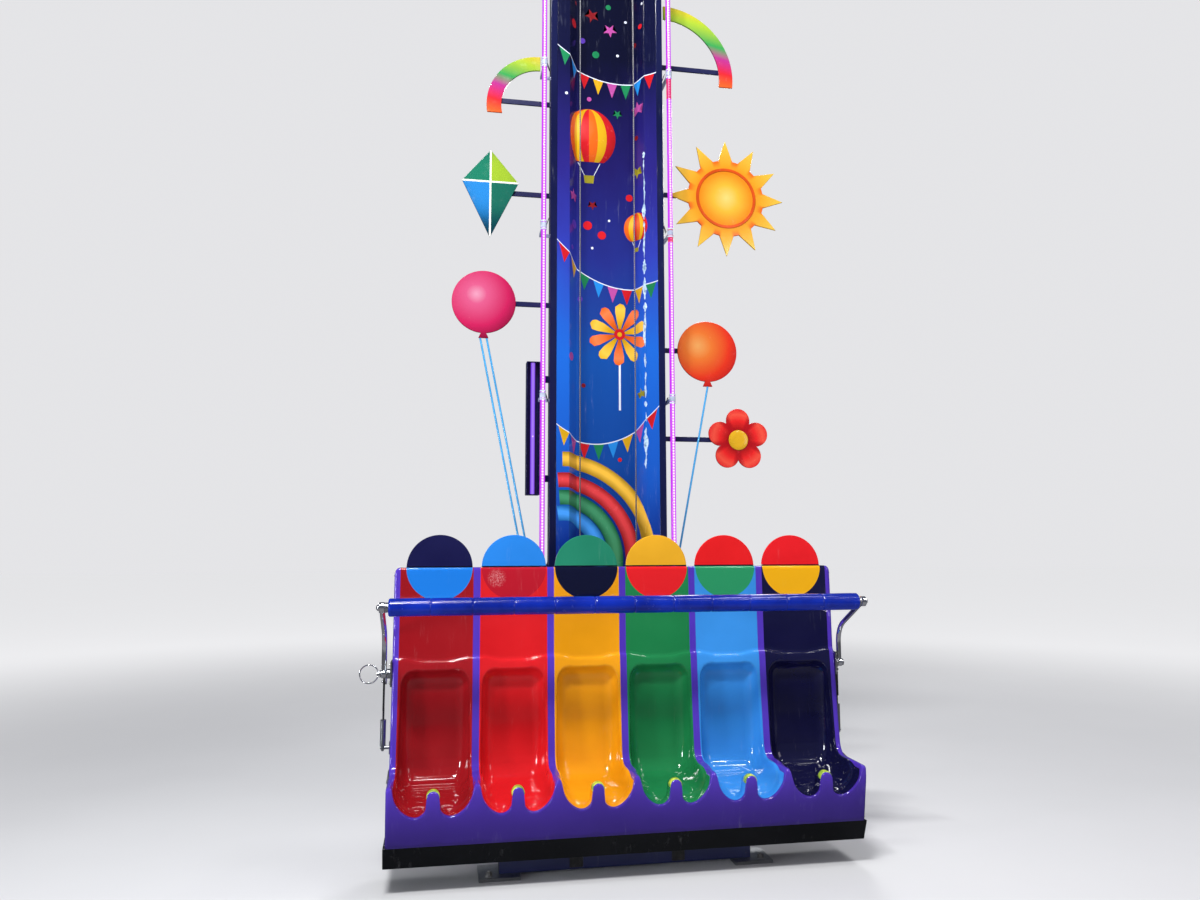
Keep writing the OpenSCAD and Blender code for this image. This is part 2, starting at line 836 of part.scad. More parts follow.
module back_discs() {
    color("deepskyblue")
    for (i = [0 : seat_n - 1])
        translate([seat_x(i), seat_plane_y, back_top_z])
            along_y(24, 24 + disc_t)
                intersection() {
                    circle(r = disc_r);
                    translate([-disc_r, 0]) square([2 * disc_r, disc_r]);
                }
}

module bumper_band() {
    out = 10;
    color("black")
    translate([0, seat_plane_y, 0])
        difference() {
            along_x(-bench_half - out, bench_half + out) polygon([
                [skirt_y(skirt_z), skirt_z], [skirt_y(skirt_z) + 40, bench_z],
                [bench_back, bench_z], [bench_back, skirt_z]]);
            along_x(-bench_half + 30, bench_half - 30) polygon([
                [skirt_y(skirt_z) + 30, skirt_z + 1], [skirt_y(skirt_z) + 70, bench_z - 1],
                [bench_back - 30, bench_z - 1], [bench_back - 30, skirt_z + 1]]);
        }
}

module post_tips() {
    tip_t = 4;
    tip_front = 6;
    color("yellowgreen")
    for (i = [0 : seat_n - 1])
        translate([seat_x(i), seat_plane_y, 0]) scoop_run()
            along_y(tip_front, tip_front + tip_d) translate([0, post_top_z - post_half])
                difference() {
                    circle(r = post_half + tip_t);
                    circle(r = post_half + gap);
                    translate([-post_half * 2, -post_half * 2]) square([post_half * 4, post_half * 2 + 10]);
                }
}

module bar_pivots() {
    pin_end = arm_x + arm_r + 8;
    color("silver")
    difference() {
        union() {
            both_sides() translate([0, seat_plane_y + pivot_y, pivot_z]) {
                block([bench_half, -40, -60], [bench_half + 8, 40, 60]);
                bar_x(bench_half + 8, arm_side - 2, 0, 0, 24);
                bar_x(arm_side - 2, pin_end, 0, 0, pin_r);
                bar_x(pin_end - 6, pin_end, 0, 0, 18);
            }
            bar_x(-pin_end - 14, -pin_end, seat_plane_y + pivot_y, pivot_z, 8);
        }
        translate([ring_eye_x, seat_plane_y + pivot_y, pivot_z - 20]) cylinder(r = ring_wire + 1, h = 40);
    }
}

// A tube of radius r swept along points of Y and Z
module bent_tube(path, r, sides = 16) {
    n = len(path);
    ways = [for (i = [0 : n - 1]) unit(path[min(i + 1, n - 1)] - path[max(i - 1, 0)])];
    rings = [for (i = [0 : n - 1], k = [0 : sides - 1])
        let (a = (k + 0.5) * 360 / sides)
        [r * cos(a), path[i][0] - r * sin(a) * ways[i][1], path[i][1] + r * sin(a) * ways[i][0]]];
    sleeve = [for (i = [0 : n - 2], k = [0 : sides - 1])
        let (a = i * sides + k, b = i * sides + (k + 1) % sides)
        each [[a, b, b + sides], [a, b + sides, a + sides]]];
    foot = [[for (k = [0 : sides - 1]) sides - 1 - k]];
    tip = [[for (k = [0 : sides - 1]) (n - 1) * sides + k]];
    polyhedron(points = rings, faces = concat(sleeve, foot, tip), convexity = 4);
}

// An arm of the lap bar with the lever that works its strut
module arm() {
    bar = [-bar_reach - pivot_y, bar_z - pivot_z];
    lever = [lever_y - pivot_y, lever_z - pivot_z];
    side = 12 * [-sin(lever_rest), cos(lever_rest)];
    path = concat([[0, 0]], corner([0, 0], [0, arm_knee], bar, arm_bend, 8), [bar]);
    translate([arm_x, seat_plane_y + pivot_y, pivot_z])
        difference() {
            union() {
                bent_tube(path, arm_r);
                bar_x(-arm_r, arm_r, 0, 0, 22);
                bar_x(-arm_r, -arm_r + lever_t, lever[0], lever[1], 14);
                along_x(-arm_r, -arm_r + lever_t) polygon([-side, side, lever + side, lever - side]);
                bar_x(-arm_r + lever_t - 1, arm_r, lever[0], lever[1], lever_pin_r);
                bar_x(-arm_r, arm_r, bar[0], bar[1], bar_r + 2);
            }
            bar_x(-arm_r - 1, arm_r + 1, 0, 0, pin_r + gap);
        }
}

module lap_bar_arms() {
    color("lightsteelblue") both_sides() arm();
}

module lap_bar_tube() {
    color("silver")
    translate([0, seat_plane_y - bar_reach, bar_z])
        difference() {
            bar_x(-arm_side, arm_side, 0, 0, bar_r);
            bar_x(-arm_x, arm_x, 0, 0, bar_r - bar_wall);
        }
}

module lap_bar_pad() {
    color("mediumblue")
    translate([0, seat_plane_y - bar_reach, bar_z])
        difference() {
            bar_x(-pad_half, pad_half, 0, 0, pad_r);
            bar_x(-pad_half - 1, pad_half + 1, 0, 0, bar_r + gap);
        }
}

module lap_bar_caps() {
    color("silver")
    both_sides()
        bar_x(arm_x + arm_r, arm_x + arm_r + 14, seat_plane_y - bar_reach, bar_z, 15);
}

module strut_cylinders() {
    color("gray")
    both_sides() translate([0, seat_plane_y + lever_y, 0]) {
        block([bench_half, -25, strut_z - strut_foot], [bench_half + 8, 5, strut_z + strut_foot]);
        bar_x(bench_half + 8, arm_x + 12, -5, strut_z, 8);
        translate([arm_x, 0, strut_z + 5]) difference() {
            union() {
                cylinder(r = strut_r, h = strut_body);
                translate([-6, -15, -20]) cube([12, 24, 30]);
            }
            translate([0, 0, 20]) cylinder(r = 5.5, h = strut_body);
        }
    }
}

// Rod and slotted link of one strut
module strut_rod() {
    link_t = 8;
    translate([arm_x + 1, seat_plane_y + lever_y, 0]) {
        translate([-1, 0, strut_z + 40]) cylinder(r = 5, h = 150);
        difference() {
            block([-link_t / 2, -12, strut_z + 180], [link_t / 2, 12 + lever_dip, lever_z + slot_half + 8]);
            block([-link_t, -lever_pin_r - 1, lever_z - slot_half],
                [link_t, lever_pin_r + 1 + lever_dip, lever_z + slot_half]);
        }
    }
}

module strut_rod_right() {
    color("black") strut_rod();
}

module strut_rod_left() {
    color("black") mirror([1, 0, 0]) strut_rod();
}

module release_ring() {
    color("silver")
    translate([ring_eye_x - ring_r, seat_plane_y + pivot_y, pivot_z])
        rotate([90, 0, 0]) rotate_extrude() translate([ring_r, 0]) circle(r = ring_wire);
}

base_frame();
anchor_plates();
column();
front_plate();
guide_rails();
head_housing();
head_sheaves();
foot_sheaves();
lift_ropes();
service_cover();
led_bars();
led_brackets();
lamp_housing();
lamp_tube();
kite();
pink_balloon();
orange_balloon();
sun();
flower();
rainbow_arcs();
scenery_stays();
scenery_brackets();
carriage_frame();
guide_rollers();
rope_clamps();
bench_shell();
back_panel();
color(seat_colors[0]) seat(0);  // seat_1
color(seat_colors[1]) seat(1);  // seat_2
color(seat_colors[2]) seat(2);  // seat_3
color(seat_colors[3]) seat(3);  // seat_4
color(seat_colors[4]) seat(4);  // seat_5
color(seat_colors[5]) seat(5);  // seat_6
back_discs();
bumper_band();
post_tips();
bar_pivots();
strut_cylinders();
release_ring();
lap_bar_tube();
lap_bar_pad();
lap_bar_arms();
lap_bar_caps();
strut_rod_left();
strut_rod_right();
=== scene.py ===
"""Looks of a children's drop tower ride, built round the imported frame. Metres, +Z up, seats facing -Y."""
import json
import random
from itertools import product
from math import cos, exp, hypot, pi, radians, sin, sqrt, tan

import bmesh
import bpy
import numpy as np
from mathutils import Matrix, Vector


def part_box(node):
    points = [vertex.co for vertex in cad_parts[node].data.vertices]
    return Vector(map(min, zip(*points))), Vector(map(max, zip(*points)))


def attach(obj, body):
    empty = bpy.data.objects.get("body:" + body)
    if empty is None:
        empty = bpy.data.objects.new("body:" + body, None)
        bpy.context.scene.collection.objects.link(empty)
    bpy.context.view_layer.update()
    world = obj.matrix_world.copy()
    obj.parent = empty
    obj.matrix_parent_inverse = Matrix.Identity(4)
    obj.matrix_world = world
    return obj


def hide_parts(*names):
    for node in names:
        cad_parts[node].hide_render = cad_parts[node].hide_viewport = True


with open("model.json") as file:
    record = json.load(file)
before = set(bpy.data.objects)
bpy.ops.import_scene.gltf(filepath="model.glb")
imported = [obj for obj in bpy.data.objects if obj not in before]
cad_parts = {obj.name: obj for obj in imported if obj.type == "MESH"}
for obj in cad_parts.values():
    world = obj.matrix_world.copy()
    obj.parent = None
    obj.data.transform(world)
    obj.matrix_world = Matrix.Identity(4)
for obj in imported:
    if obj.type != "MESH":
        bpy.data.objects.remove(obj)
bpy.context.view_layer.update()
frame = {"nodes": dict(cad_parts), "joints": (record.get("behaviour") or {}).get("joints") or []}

nodes = frame["nodes"]
TAU = 2 * pi


# Places that come from the frame

def low_of(node):
    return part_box(node)[0]


def high_of(node):
    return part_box(node)[1]


def middle_of(node, dx=0, dz=0):
    """The middle of a node's box in X and Z, moved by dx and dz."""
    low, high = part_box(node)
    return (low.x + high.x) / 2 + dx, (low.z + high.z) / 2 + dz


SEATS = [f"seat_{i}" for i in range(1, 7)]
HALF, _, TOP_Z = high_of("bench_shell")
SKIRT_Z = low_of("bench_shell").z
BACK_V = 0.075
SEAT_Y = low_of("back_panel").y - BACK_V
COLOR_HALF = (high_of("seat_3").x - low_of("seat_3").x) / 2
PITCH = middle_of("seat_4")[0] - middle_of("seat_3")[0]
END_COLOR_X = high_of("seat_6").x
DISC_R = high_of("back_discs").z - TOP_Z
PIVOT = Vector(next(j for j in frame["joints"] if j["name"] == "lap_bar")["pos_m"])
BAR = (low_of("lap_bar_pad") + high_of("lap_bar_pad")) / 2
PAD_HALF = high_of("lap_bar_pad").x
PAD_R = (high_of("lap_bar_pad").z - low_of("lap_bar_pad").z) / 2
LIGHT_X = high_of("led_bars").x - 0.015
LIGHT_Y = (low_of("led_bars").y + high_of("led_bars").y) / 2
FLOWER_MIDDLE = (middle_of("flower")[0], high_of("flower").z - 0.195)


def seat_middle(i):
    return (i - 2.5) * PITCH


# Materials

def shaded(color, factor, lift=0.0):
    return tuple(min(1.0, factor * c + lift) for c in color)


class Paint:
    """A Principled material with short ways to add nodes to it."""

    def __init__(self, name, color, **sockets):
        self.material = bpy.data.materials.new(name)
        self.material.use_nodes = True
        self.tree = self.material.node_tree
        self.shader = self.tree.nodes["Principled BSDF"]
        self.color(color)
        for key, value in sockets.items():
            self.set(key.replace("_", " ").title().replace("Ior", "IOR"), value)

    def set(self, socket, source):
        self.feed(source, self.shader.inputs[socket])

    def color(self, source):
        self.set("Base Color", source)

    def feed(self, source, socket):
        """A number, a colour or another node's output goes into a socket."""
        if hasattr(source, "links"):
            self.tree.links.new(source, socket)
        else:
            socket.default_value = (*source, 1) if socket.type == "RGBA" else source

    def node(self, kind, *sources, named=(), **settings):
        """A new node, with sources for its first inputs and for those named."""
        made = self.tree.nodes.new(kind)
        for key, value in settings.items():
            setattr(made, key, value)
        for key, source in [*enumerate(sources), *dict(named).items()]:
            self.feed(source, made.inputs[key])
        return made

    def place(self):
        return self.node("ShaderNodeTexCoord").outputs["Object"]

    def axis(self, letter):
        return self.node("ShaderNodeSeparateXYZ", self.place()).outputs[letter]

    def math(self, operation, *sources):
        return self.node("ShaderNodeMath", *sources, operation=operation).outputs[0]

    def plus(self, a, b):
        return self.math("ADD", a, b)

    def minus(self, a, b):
        return self.math("SUBTRACT", a, b)

    def times(self, a, b):
        return self.math("MULTIPLY", a, b)

    def length(self, a, b):
        return self.math("SQRT", self.plus(self.times(a, a), self.times(b, b)))

    def far_from(self, x, z):
        """How far a point is from (x, z), seen from the front."""
        return self.length(self.minus(self.axis("X"), x), self.minus(self.axis("Z"), z))

    def span(self, value, low, high):
        """0 at low, 1 at high, smooth between."""
        return self.node("ShaderNodeMapRange", value, low, high, interpolation_type="SMOOTHSTEP").outputs[0]

    def noise(self, scale, detail=3.0, rough=0.5, stretch=(1, 1, 1), seed=0.0):
        place = self.node("ShaderNodeMapping", self.place(), (seed, seed * 1.7, -seed), (0, 0, 0), stretch)
        values = {"Vector": place.outputs[0], "Scale": scale, "Detail": detail, "Roughness": rough}
        return self.node("ShaderNodeTexNoise", named=values).outputs[0]

    def mix(self, amount, a, b, kind="MIX"):
        """From colour a to colour b, which are inputs 6 and 7 of the node."""
        colors = {6: a, 7: b}
        return self.node("ShaderNodeMix", amount, named=colors, data_type="RGBA", blend_type=kind).outputs[2]

    def ramp(self, value, stops):
        made = self.node("ShaderNodeValToRGB", value)
        while len(made.color_ramp.elements) < len(stops):
            made.color_ramp.elements.new(0.5)
        for element, (place, color) in zip(made.color_ramp.elements, stops):
            element.position = place
            element.color = (*color, 1)
        return made.outputs[0]

    def bump(self, height, distance, strength):
        """Adds a relief on top of those before it."""
        values = {"Strength": strength, "Distance": distance, "Height": height}
        before = self.shader.inputs["Normal"]
        if before.links:
            values["Normal"] = before.links[0].from_socket
        self.feed(self.node("ShaderNodeBump", named=values).outputs[0], before)

    def rough(self, low, high, amount):
        """Roughness from low to high as amount goes from 0 to 1."""
        self.set("Roughness", self.node("ShaderNodeMapRange", amount, 0.0, 1.0, low, high).outputs[0])

    def scuffs(self, seed):
        """Fine scratches in rubbed patches, 0 where the surface is clean."""
        lines = self.noise(34, 6, 0.7, stretch=(1, 1, 0.12), seed=seed)
        patches = self.noise(3.1, 4, 0.6, seed=seed + 5)
        return self.times(self.span(lines, 0.56, 0.72), self.span(patches, 0.45, 0.7))

    def gloss(self, rough, patches=(18, 5, 0.7), top=0.78, grain=(24, 3), depth=0.0004, strength=0.3):
        """Uneven gloss and a faint ripple, and then the finished material."""
        self.rough(rough, rough + 0.2, self.span(self.noise(*patches), 0.5, top))
        self.bump(self.noise(*grain), depth, strength)
        return self.material


def gelcoat(name, color, seed=0.0, disc=None, rub=None, painted_shade=None, foot=None, gloss=0.5):
    """Glossy glass fibre. disc is (x, radius, color) of a painted half disc under the top edge."""
    p = Paint(name, color, specular_ior_level=gloss)
    tones = [(0.3, shaded(color, 0.86)), (0.75, shaded(color, 1.1, 0.004))]
    tint = p.ramp(p.noise(2.3, 4, seed=seed), tones)
    if disc:
        x, radius, disc_color = disc
        tint = p.mix(p.math("LESS_THAN", p.far_from(x, TOP_Z), radius), tint, disc_color)
    if rub:
        x, z, radius = rub
        flecks = p.span(p.noise(150, 6, 0.75), 0.47, 0.6)
        spot = p.times(p.span(p.far_from(x, z), radius, radius * 0.35), flecks)
        tint = p.mix(p.times(spot, 0.5), tint, (0.8, 0.52, 0.52))
    # Painted shade: the colour is darkened towards the bottom, to least times itself below z low and full
    # from z high up.
    if painted_shade:
        low, high, least = painted_shade
        dim = p.math("MULTIPLY_ADD", p.span(p.axis("Z"), low, high), 1.0 - least, least)
        tint = p.mix(1.0, tint, dim, "MULTIPLY")
    marks = p.scuffs(seed)
    tint = p.mix(p.times(marks, 0.06), tint, (0.6, 0.6, 0.62))
    # Painted shadow: a near-black line below z foot, where the disc plate meets the bench's top edge.
    if foot:
        tint = p.mix(p.math("LESS_THAN", p.axis("Z"), foot), tint, (0.004, 0.003, 0.012))
    p.color(tint)
    p.rough(0.07, 0.26, marks)
    p.bump(p.noise(5.5, 2, seed=seed + 2), 0.0016, 0.5)
    p.bump(p.noise(190, 2, seed=seed), 0.00012, 0.5)
    return p.material


def enamel(name, color, seed, rough):
    """Sprayed gloss paint on steel, with dust and small chips."""
    p = Paint(name, color, specular_ior_level=0.4)
    tones = [(0.3, shaded(color, 0.8)), (0.75, shaded(color, 1.15, 0.004))]
    tint = p.ramp(p.noise(1.7, 4, seed=seed), tones)
    specks = p.span(p.noise(42, 5, 0.75, seed=seed), 0.66, 0.7)
    chips = p.times(specks, p.span(p.noise(4, 3, seed=seed + 3), 0.5, 0.6))
    marks = p.scuffs(seed)
    tint = p.mix(p.times(marks, 0.15), tint, (0.5, 0.52, 0.55))
    p.color(p.mix(chips, tint, (0.18, 0.16, 0.15)))
    p.rough(rough, rough + 0.3, marks)
    p.bump(p.noise(240, 2, seed=seed), 0.00015, 0.6)
    p.bump(p.noise(3.5, 2, seed=seed), 0.0012, 0.4)
    return p.material


def steel(name, color, rough, spangle=False):
    """Bare steel with stains, or zinc plate with its spangle."""
    p = Paint(name, color, metallic=1.0)
    p.color(p.ramp(p.noise(6, 5, 0.6), [(0.3, shaded(color, 0.62)), (0.7, color)]))
    fine = p.noise(120, 3, 0.6)
    if spangle:
        fine = p.node("ShaderNodeTexVoronoi", p.place(), named={"Scale": 60}).outputs["Distance"]
    p.rough(rough * 0.75, rough * 1.4, fine)
    p.bump(fine, 0.0001, 0.5)
    return p.material


def chrome(name):
    p = Paint(name, (0.86, 0.87, 0.9), metallic=1.0)
    p.rough(0.03, 0.22, p.span(p.noise(14, 5, 0.7), 0.45, 0.8))
    p.bump(p.noise(9, 2), 0.0006, 0.3)
    return p.material


def rubber(name, color, rough):
    p = Paint(name, color)
    dust = p.span(p.noise(9, 5, 0.65), 0.45, 0.75)
    p.color(p.mix(p.times(dust, 0.2), color, (0.22, 0.21, 0.2)))
    p.rough(rough, rough + 0.2, dust)
    p.bump(p.noise(300, 3), 0.0003, 0.7)
    return p.material


def mottled(name, rough, patches, stops, grain, depth, strength=0.5):
    """A dull material whose colour drifts between the stops, with a fine grain."""
    p = Paint(name, stops[-1][1], roughness=rough)
    p.color(p.ramp(p.noise(*patches), stops))
    p.bump(p.noise(*grain), depth, strength)
    return p.material


def petal_beat(p, x, z, count):
    """1 along each of count directions round (x, z), the first straight up, and 0 between them."""
    angle = p.math("ARCTAN2", p.minus(p.axis("Z"), z), p.minus(p.axis("X"), x))
    wave = p.math("COSINE", p.times(p.minus(angle, pi / 2), float(count)))
    return p.math("MULTIPLY_ADD", wave, 0.5, 0.5)


FOIL_GLOSS = (20, 5, 0.7), 0.75, (30, 3), 0.0003, 0.35


def foil_round(name, color, centre, start, stop, tones):
    """Printed foil, airbrushed lighter and darker by its distance from a point."""
    p = Paint(name, color, specular_ior_level=0.4)
    along = p.math("DIVIDE", p.minus(p.far_from(*centre), start), stop - start)
    along = p.plus(along, p.math("MULTIPLY_ADD", p.noise(14, 3), 0.16, -0.08))
    p.color(p.ramp(along, [(t, shaded(color, tone, max(0.0, tone - 1) * 0.25)) for t, tone in tones]))
    return p.gloss(0.16, *FOIL_GLOSS)


def foil(name, color):
    """Glossy printed foil."""
    p = Paint(name, color, specular_ior_level=0.4)
    p.color(p.ramp(p.noise(4.5, 3), [(0.32, shaded(color, 0.75)), (0.68, color)]))
    return p.gloss(0.16, *FOIL_GLOSS)


def glow(name, color, strength, core, axis_x, pitch=0.0165, red_at=()):
    """A lit tube: a coloured glow with a row of bright points down its middle."""
    p = Paint(name, shaded(color, 0.12), roughness=0.25)
    beat = p.minus(p.math("FRACT", p.math("DIVIDE", p.axis("Z"), pitch)), 0.5)
    across = p.minus(p.math("ABSOLUTE", p.axis("X")), axis_x)
    point = p.span(p.length(p.times(beat, pitch), across), 0.0058, 0.003)
    halo = p.span(p.math("ABSOLUTE", across), 0.0115, 0.003)
    tint = p.mix(p.times(halo, 0.42), color, core)
    for x_sign, low, high in red_at:
        side = p.math("GREATER_THAN", p.times(p.axis("X"), x_sign), 0.0)
        inside = p.times(p.math("GREATER_THAN", p.axis("Z"), low), p.math("LESS_THAN", p.axis("Z"), high))
        red = p.times(side, inside)
        tint = p.mix(red, tint, (0.85, 0.015, 0.03))
        point = p.times(point, p.minus(1.0, p.times(red, 0.75)))
    p.set("Emission Color", p.mix(point, tint, core))
    p.set("Emission Strength", p.math("MULTIPLY_ADD", point, strength, strength))
    p.bump(p.noise(60, 2), 0.0004, 0.3)
    return p.material


def bloom_paint(name, centre, radius, stops):
    """Airbrushed paint whose colour runs outwards from a point in X and Z."""
    p = Paint(name, stops[-1][1], specular_ior_level=0.42)
    soft = p.math("MULTIPLY_ADD", p.noise(9, 3), 0.06, p.math("DIVIDE", p.far_from(*centre), radius))
    p.color(p.ramp(p.minus(soft, 0.03), stops))
    return p.gloss(0.14)


def height_paint(name, stops, high, painted_floor_shade=1.0):
    """Sprayed paint whose colour runs with the height; the channel's floor gets painted shade, its colour
    times the last argument.
    """
    rough = 0.16
    p = Paint(name, stops[0][1], specular_ior_level=0.42)
    drift = p.math("MULTIPLY_ADD", p.noise(1.6, 3, stretch=(2.2, 2.2, 1)), 0.5, p.axis("Z"))
    tint = p.ramp(p.math("DIVIDE", p.minus(drift, 0.25), high), stops)
    if painted_floor_shade < 1.0:
        # Painted shade on the channel's floor between the folds: the colour there is darkened by the given
        # factor.
        sides = p.span(p.math("ABSOLUTE", p.axis("X")), FLOOR_HALF - 0.006, FLOOR_HALF + 0.004)
        tint = p.mix(1.0, tint, p.math("MULTIPLY_ADD", sides, 1.0 - painted_floor_shade, painted_floor_shade), "MULTIPLY")
    marks = p.scuffs(3.0)
    p.color(p.mix(p.times(marks, 0.1), tint, (0.5, 0.55, 0.65)))
    p.rough(rough, rough + 0.25, marks)
    p.bump(p.noise(210, 2), 0.00012, 0.5)
    p.bump(p.noise(2.8, 2, stretch=(1, 1, 0.35)), 0.003, 0.4)
    return p.material


# Mesh helpers

def link(thing):
    bpy.context.scene.collection.objects.link(thing)
    return thing


def add_object(name, mesh, body, slot, replaces=True):
    """Puts a mesh in the row frame on a body. With replaces, the slot's CAD node is hidden and the mesh
    stands for it; otherwise that node stays shown.
    """
    made = link(bpy.data.objects.new(name, mesh))
    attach(made, body)
    if replaces:
        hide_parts(slot)
    return made


def smooth(mesh, angle):
    """Smooth shading, with sharp edges where faces meet at more than the angle in degrees."""
    mesh.polygons.foreach_set("use_smooth", [True] * len(mesh.polygons))
    mesh.set_sharp_from_angle(angle=radians(angle))


def turns(count):
    return [TAU * i / count for i in range(count)]


def circle(x, y, radius, count=28):
    return [(x + radius * cos(a), y + radius * sin(a)) for a in turns(count)]


def arc_points(centre, radius, start, stop, steps):
    return [(centre[0] + radius * cos(a), centre[1] + radius * sin(a))
            for a in np.linspace(radians(start), radians(stop), steps)]


def ring_round(centre, side, other, radius, sides):
    """Points round a centre in the plane of side and other."""
    return [centre + (side * cos(a) + other * sin(a)) * radius for a in turns(sides)]


class Shape:
    """Vertices and faces that several small solids add to."""

    def __init__(self):
        self.verts = []
        self.faces = []

    def rings(self, rings, caps=True):
        """Joins rings of equal length into a skin, with flat ends."""
        n, k = len(rings), len(rings[0])
        faces = [(i * k + j, i * k + (j + 1) % k, (i + 1) * k + (j + 1) % k, (i + 1) * k + j)
                 for i in range(n - 1) for j in range(k)]
        if caps:
            faces += [tuple(reversed(range(k))), tuple(range((n - 1) * k, n * k))]
        start = len(self.verts)
        self.verts += [tuple(v) for ring in rings for v in ring]
        self.faces += [tuple(start + i for i in f) for f in faces]

    def tube(self, points, radius, sides):
        """A round tube along points."""
        points = [Vector(p) for p in points]
        ways = [(b - a).normalized() for a, b in zip(points[:1] + points[:-1], points[1:] + points[-1:])]
        side = ways[0].orthogonal().normalized()
        rings = []
        for p, way in zip(points, ways):
            side = (side - way * side.dot(way)).normalized()
            rings.append(ring_round(p, side, way.cross(side), radius, sides))
        self.rings(rings)

    def turned(self, base, axis, profile, sides):
        """A turned solid: profile is (distance along the axis, radius)."""
        axis = Vector(axis).normalized()
        side = axis.orthogonal().normalized()
        other = axis.cross(side)
        self.rings([ring_round(Vector(base) + axis * d, side, other, r, sides) for d, r in profile])

    def prism(self, outline, origin, right, up, thickness, ease):
        """A flat outline pushed along right x up, with its outer edges eased."""
        right, up, origin = Vector(right), Vector(up), Vector(origin)
        out = right.cross(up).normalized()
        middle = Vector((sum(p[0] for p in outline), sum(p[1] for p in outline))) / len(outline)
        rings = []
        for grow, depth in ((-ease, 0.0), (0, ease), (0, thickness - ease), (-ease, thickness)):
            eased = [Vector(p) + (Vector(p) - middle).normalized() * grow for p in outline]
            rings.append([origin + right * q.x + up * q.y + out * depth for q in eased])
        self.rings(rings)

    def bolt(self, base, axis, size):
        """A washer, a hexagon and a stud's end."""
        base, axis = Vector(base), Vector(axis).normalized()
        self.turned(base, axis, [(0, size), (size * 0.16, size)], 16)
        head = [(0, size * 0.86), (size * 0.62, size * 0.86), (size * 0.74, size * 0.7)]
        self.turned(base + axis * size * 0.16, axis, head, 6)
        stud = [(-size * 0.3, size * 0.45), (size * 0.3, size * 0.42)]
        self.turned(base + axis * size * 0.85, axis, stud, 12)

    def make(self, name, material, body, slot, sharp, replaces=False):
        """The shape as an object on a body; with replaces, the slot's CAD node is hidden."""
        mesh = bpy.data.meshes.new(name)
        mesh.from_pydata(self.verts, [], self.faces)
        mesh.validate()
        mesh.materials.append(material)
        smooth(mesh, sharp)
        return add_object(name, mesh, body, slot, replaces)


# The moulded bench

def ease(x):
    x = np.clip(x, 0.0, 1.0)
    return x * x * x * (x * (6 * x - 15) + 10)


def bowl(s):
    """Depth of the bucket from its rim inwards: a tight edge, then a wide hollow."""
    s = np.clip(s, 0.0, 1.0)
    return (1 - (1 - s) ** 2.6) * ease(s / 0.17)


def bend(a, corner, b, steps):
    """A smooth corner from a to b."""
    t = np.linspace(0, 1, steps)[:, None]
    return (1 - t) ** 2 * np.array(a) + 2 * t * (1 - t) * np.array(corner) + t ** 2 * np.array(b)


def steps_to(count):
    """Even steps after 0, up to 1."""
    return np.linspace(0, 1, count + 1)[1:]


LEDGE_Z = 1.04
BACK_TOP = LEDGE_Z - 0.036
BUCKET_TOP = 0.992
BUCKET_CORNER = 0.086
END_R = 0.014
TOP_CORNER = 0.028
WALL_FRONT_Z = 0.46
BACK_ROWS, PAN_ROWS, POST_ROWS, NOSE_ROWS = 40, 9, 5, 5
BOWL_RUN = 0.082
RIDGE_Z = 0.502
NOSE_V = -0.345
SCOOP_BOTTOM = 0.362
SCOOP_MIDDLE = 0.078
SCOOP_OUT = 0.0925
SCOOP_IN = 0.047
FLANK_Z = 0.475
POST_R = 0.027
POST_FOOT = 0.0315
POST_BACK = -0.254
POST_TOP = 0.478
SKIRT_TOP, SKIRT_SLOPE = 0.44, 0.174
PAN_Z, PAN_SLOPE, PAN_HALF = 0.428, 0.1155, 0.166
BUCKET_HALF, BUCKET_WIDENS = 0.1625, 0.0065
DIP, DIP_START = 0.016, 0.93
TOP_ROUND_Z = 1.36


def scoop_line(a):
    """Height of the front lip at a distance a from a seat's middle, with no post."""
    if a < SCOOP_MIDDLE:
        return SCOOP_BOTTOM
    if a < SCOOP_MIDDLE + SCOOP_OUT:
        t = (a - SCOOP_MIDDLE) / SCOOP_OUT
        return FLANK_Z - (FLANK_Z - SCOOP_BOTTOM) * (1 - t ** 1.7) ** (1 / 1.7)
    t = min(1.0, (a - SCOOP_MIDDLE - SCOOP_OUT) / 0.012)
    return FLANK_Z + (RIDGE_Z - FLANK_Z) * sin(t * pi / 2)


def post_line(a):
    """Height of the post and of the fillets at its foot."""
    if a < POST_R:
        return POST_TOP - POST_R + sqrt(POST_R ** 2 - a ** 2)
    if a < POST_FOOT:
        t = (a - POST_R) / (POST_FOOT - POST_R)
        return (POST_TOP - POST_R) * (1 - t) + (SCOOP_BOTTOM + SCOOP_IN) * t
    if a < SCOOP_MIDDLE:
        t = min(1.0, (SCOOP_MIDDLE - a) / SCOOP_IN)
        return SCOOP_BOTTOM + SCOOP_IN * (1 - sqrt(max(0.0, 1 - t * t)))
    return scoop_line(a)


def skirt_v(z):
    return NOSE_V + np.maximum(0.0, SKIRT_TOP - z) * SKIRT_SLOPE


def half_columns():
    """Distances from a seat's middle to the middle of a rib."""
    post = POST_R * np.sin(np.radians(np.linspace(0, 78, 7)))
    foot = np.linspace(POST_R + 0.0008, POST_FOOT, 4)
    inner = SCOOP_MIDDLE - SCOOP_IN * np.sin(np.radians(np.linspace(75, 0, 9)))
    outer = np.concatenate([np.linspace(SCOOP_MIDDLE + 0.01, 0.132, 7), np.linspace(0.137, 0.1695, 13)])
    rib = np.concatenate([[COLOR_HALF], np.linspace(COLOR_HALF + 0.003, PITCH / 2, 5)])
    return np.concatenate([post, foot, inner, outer, rib])


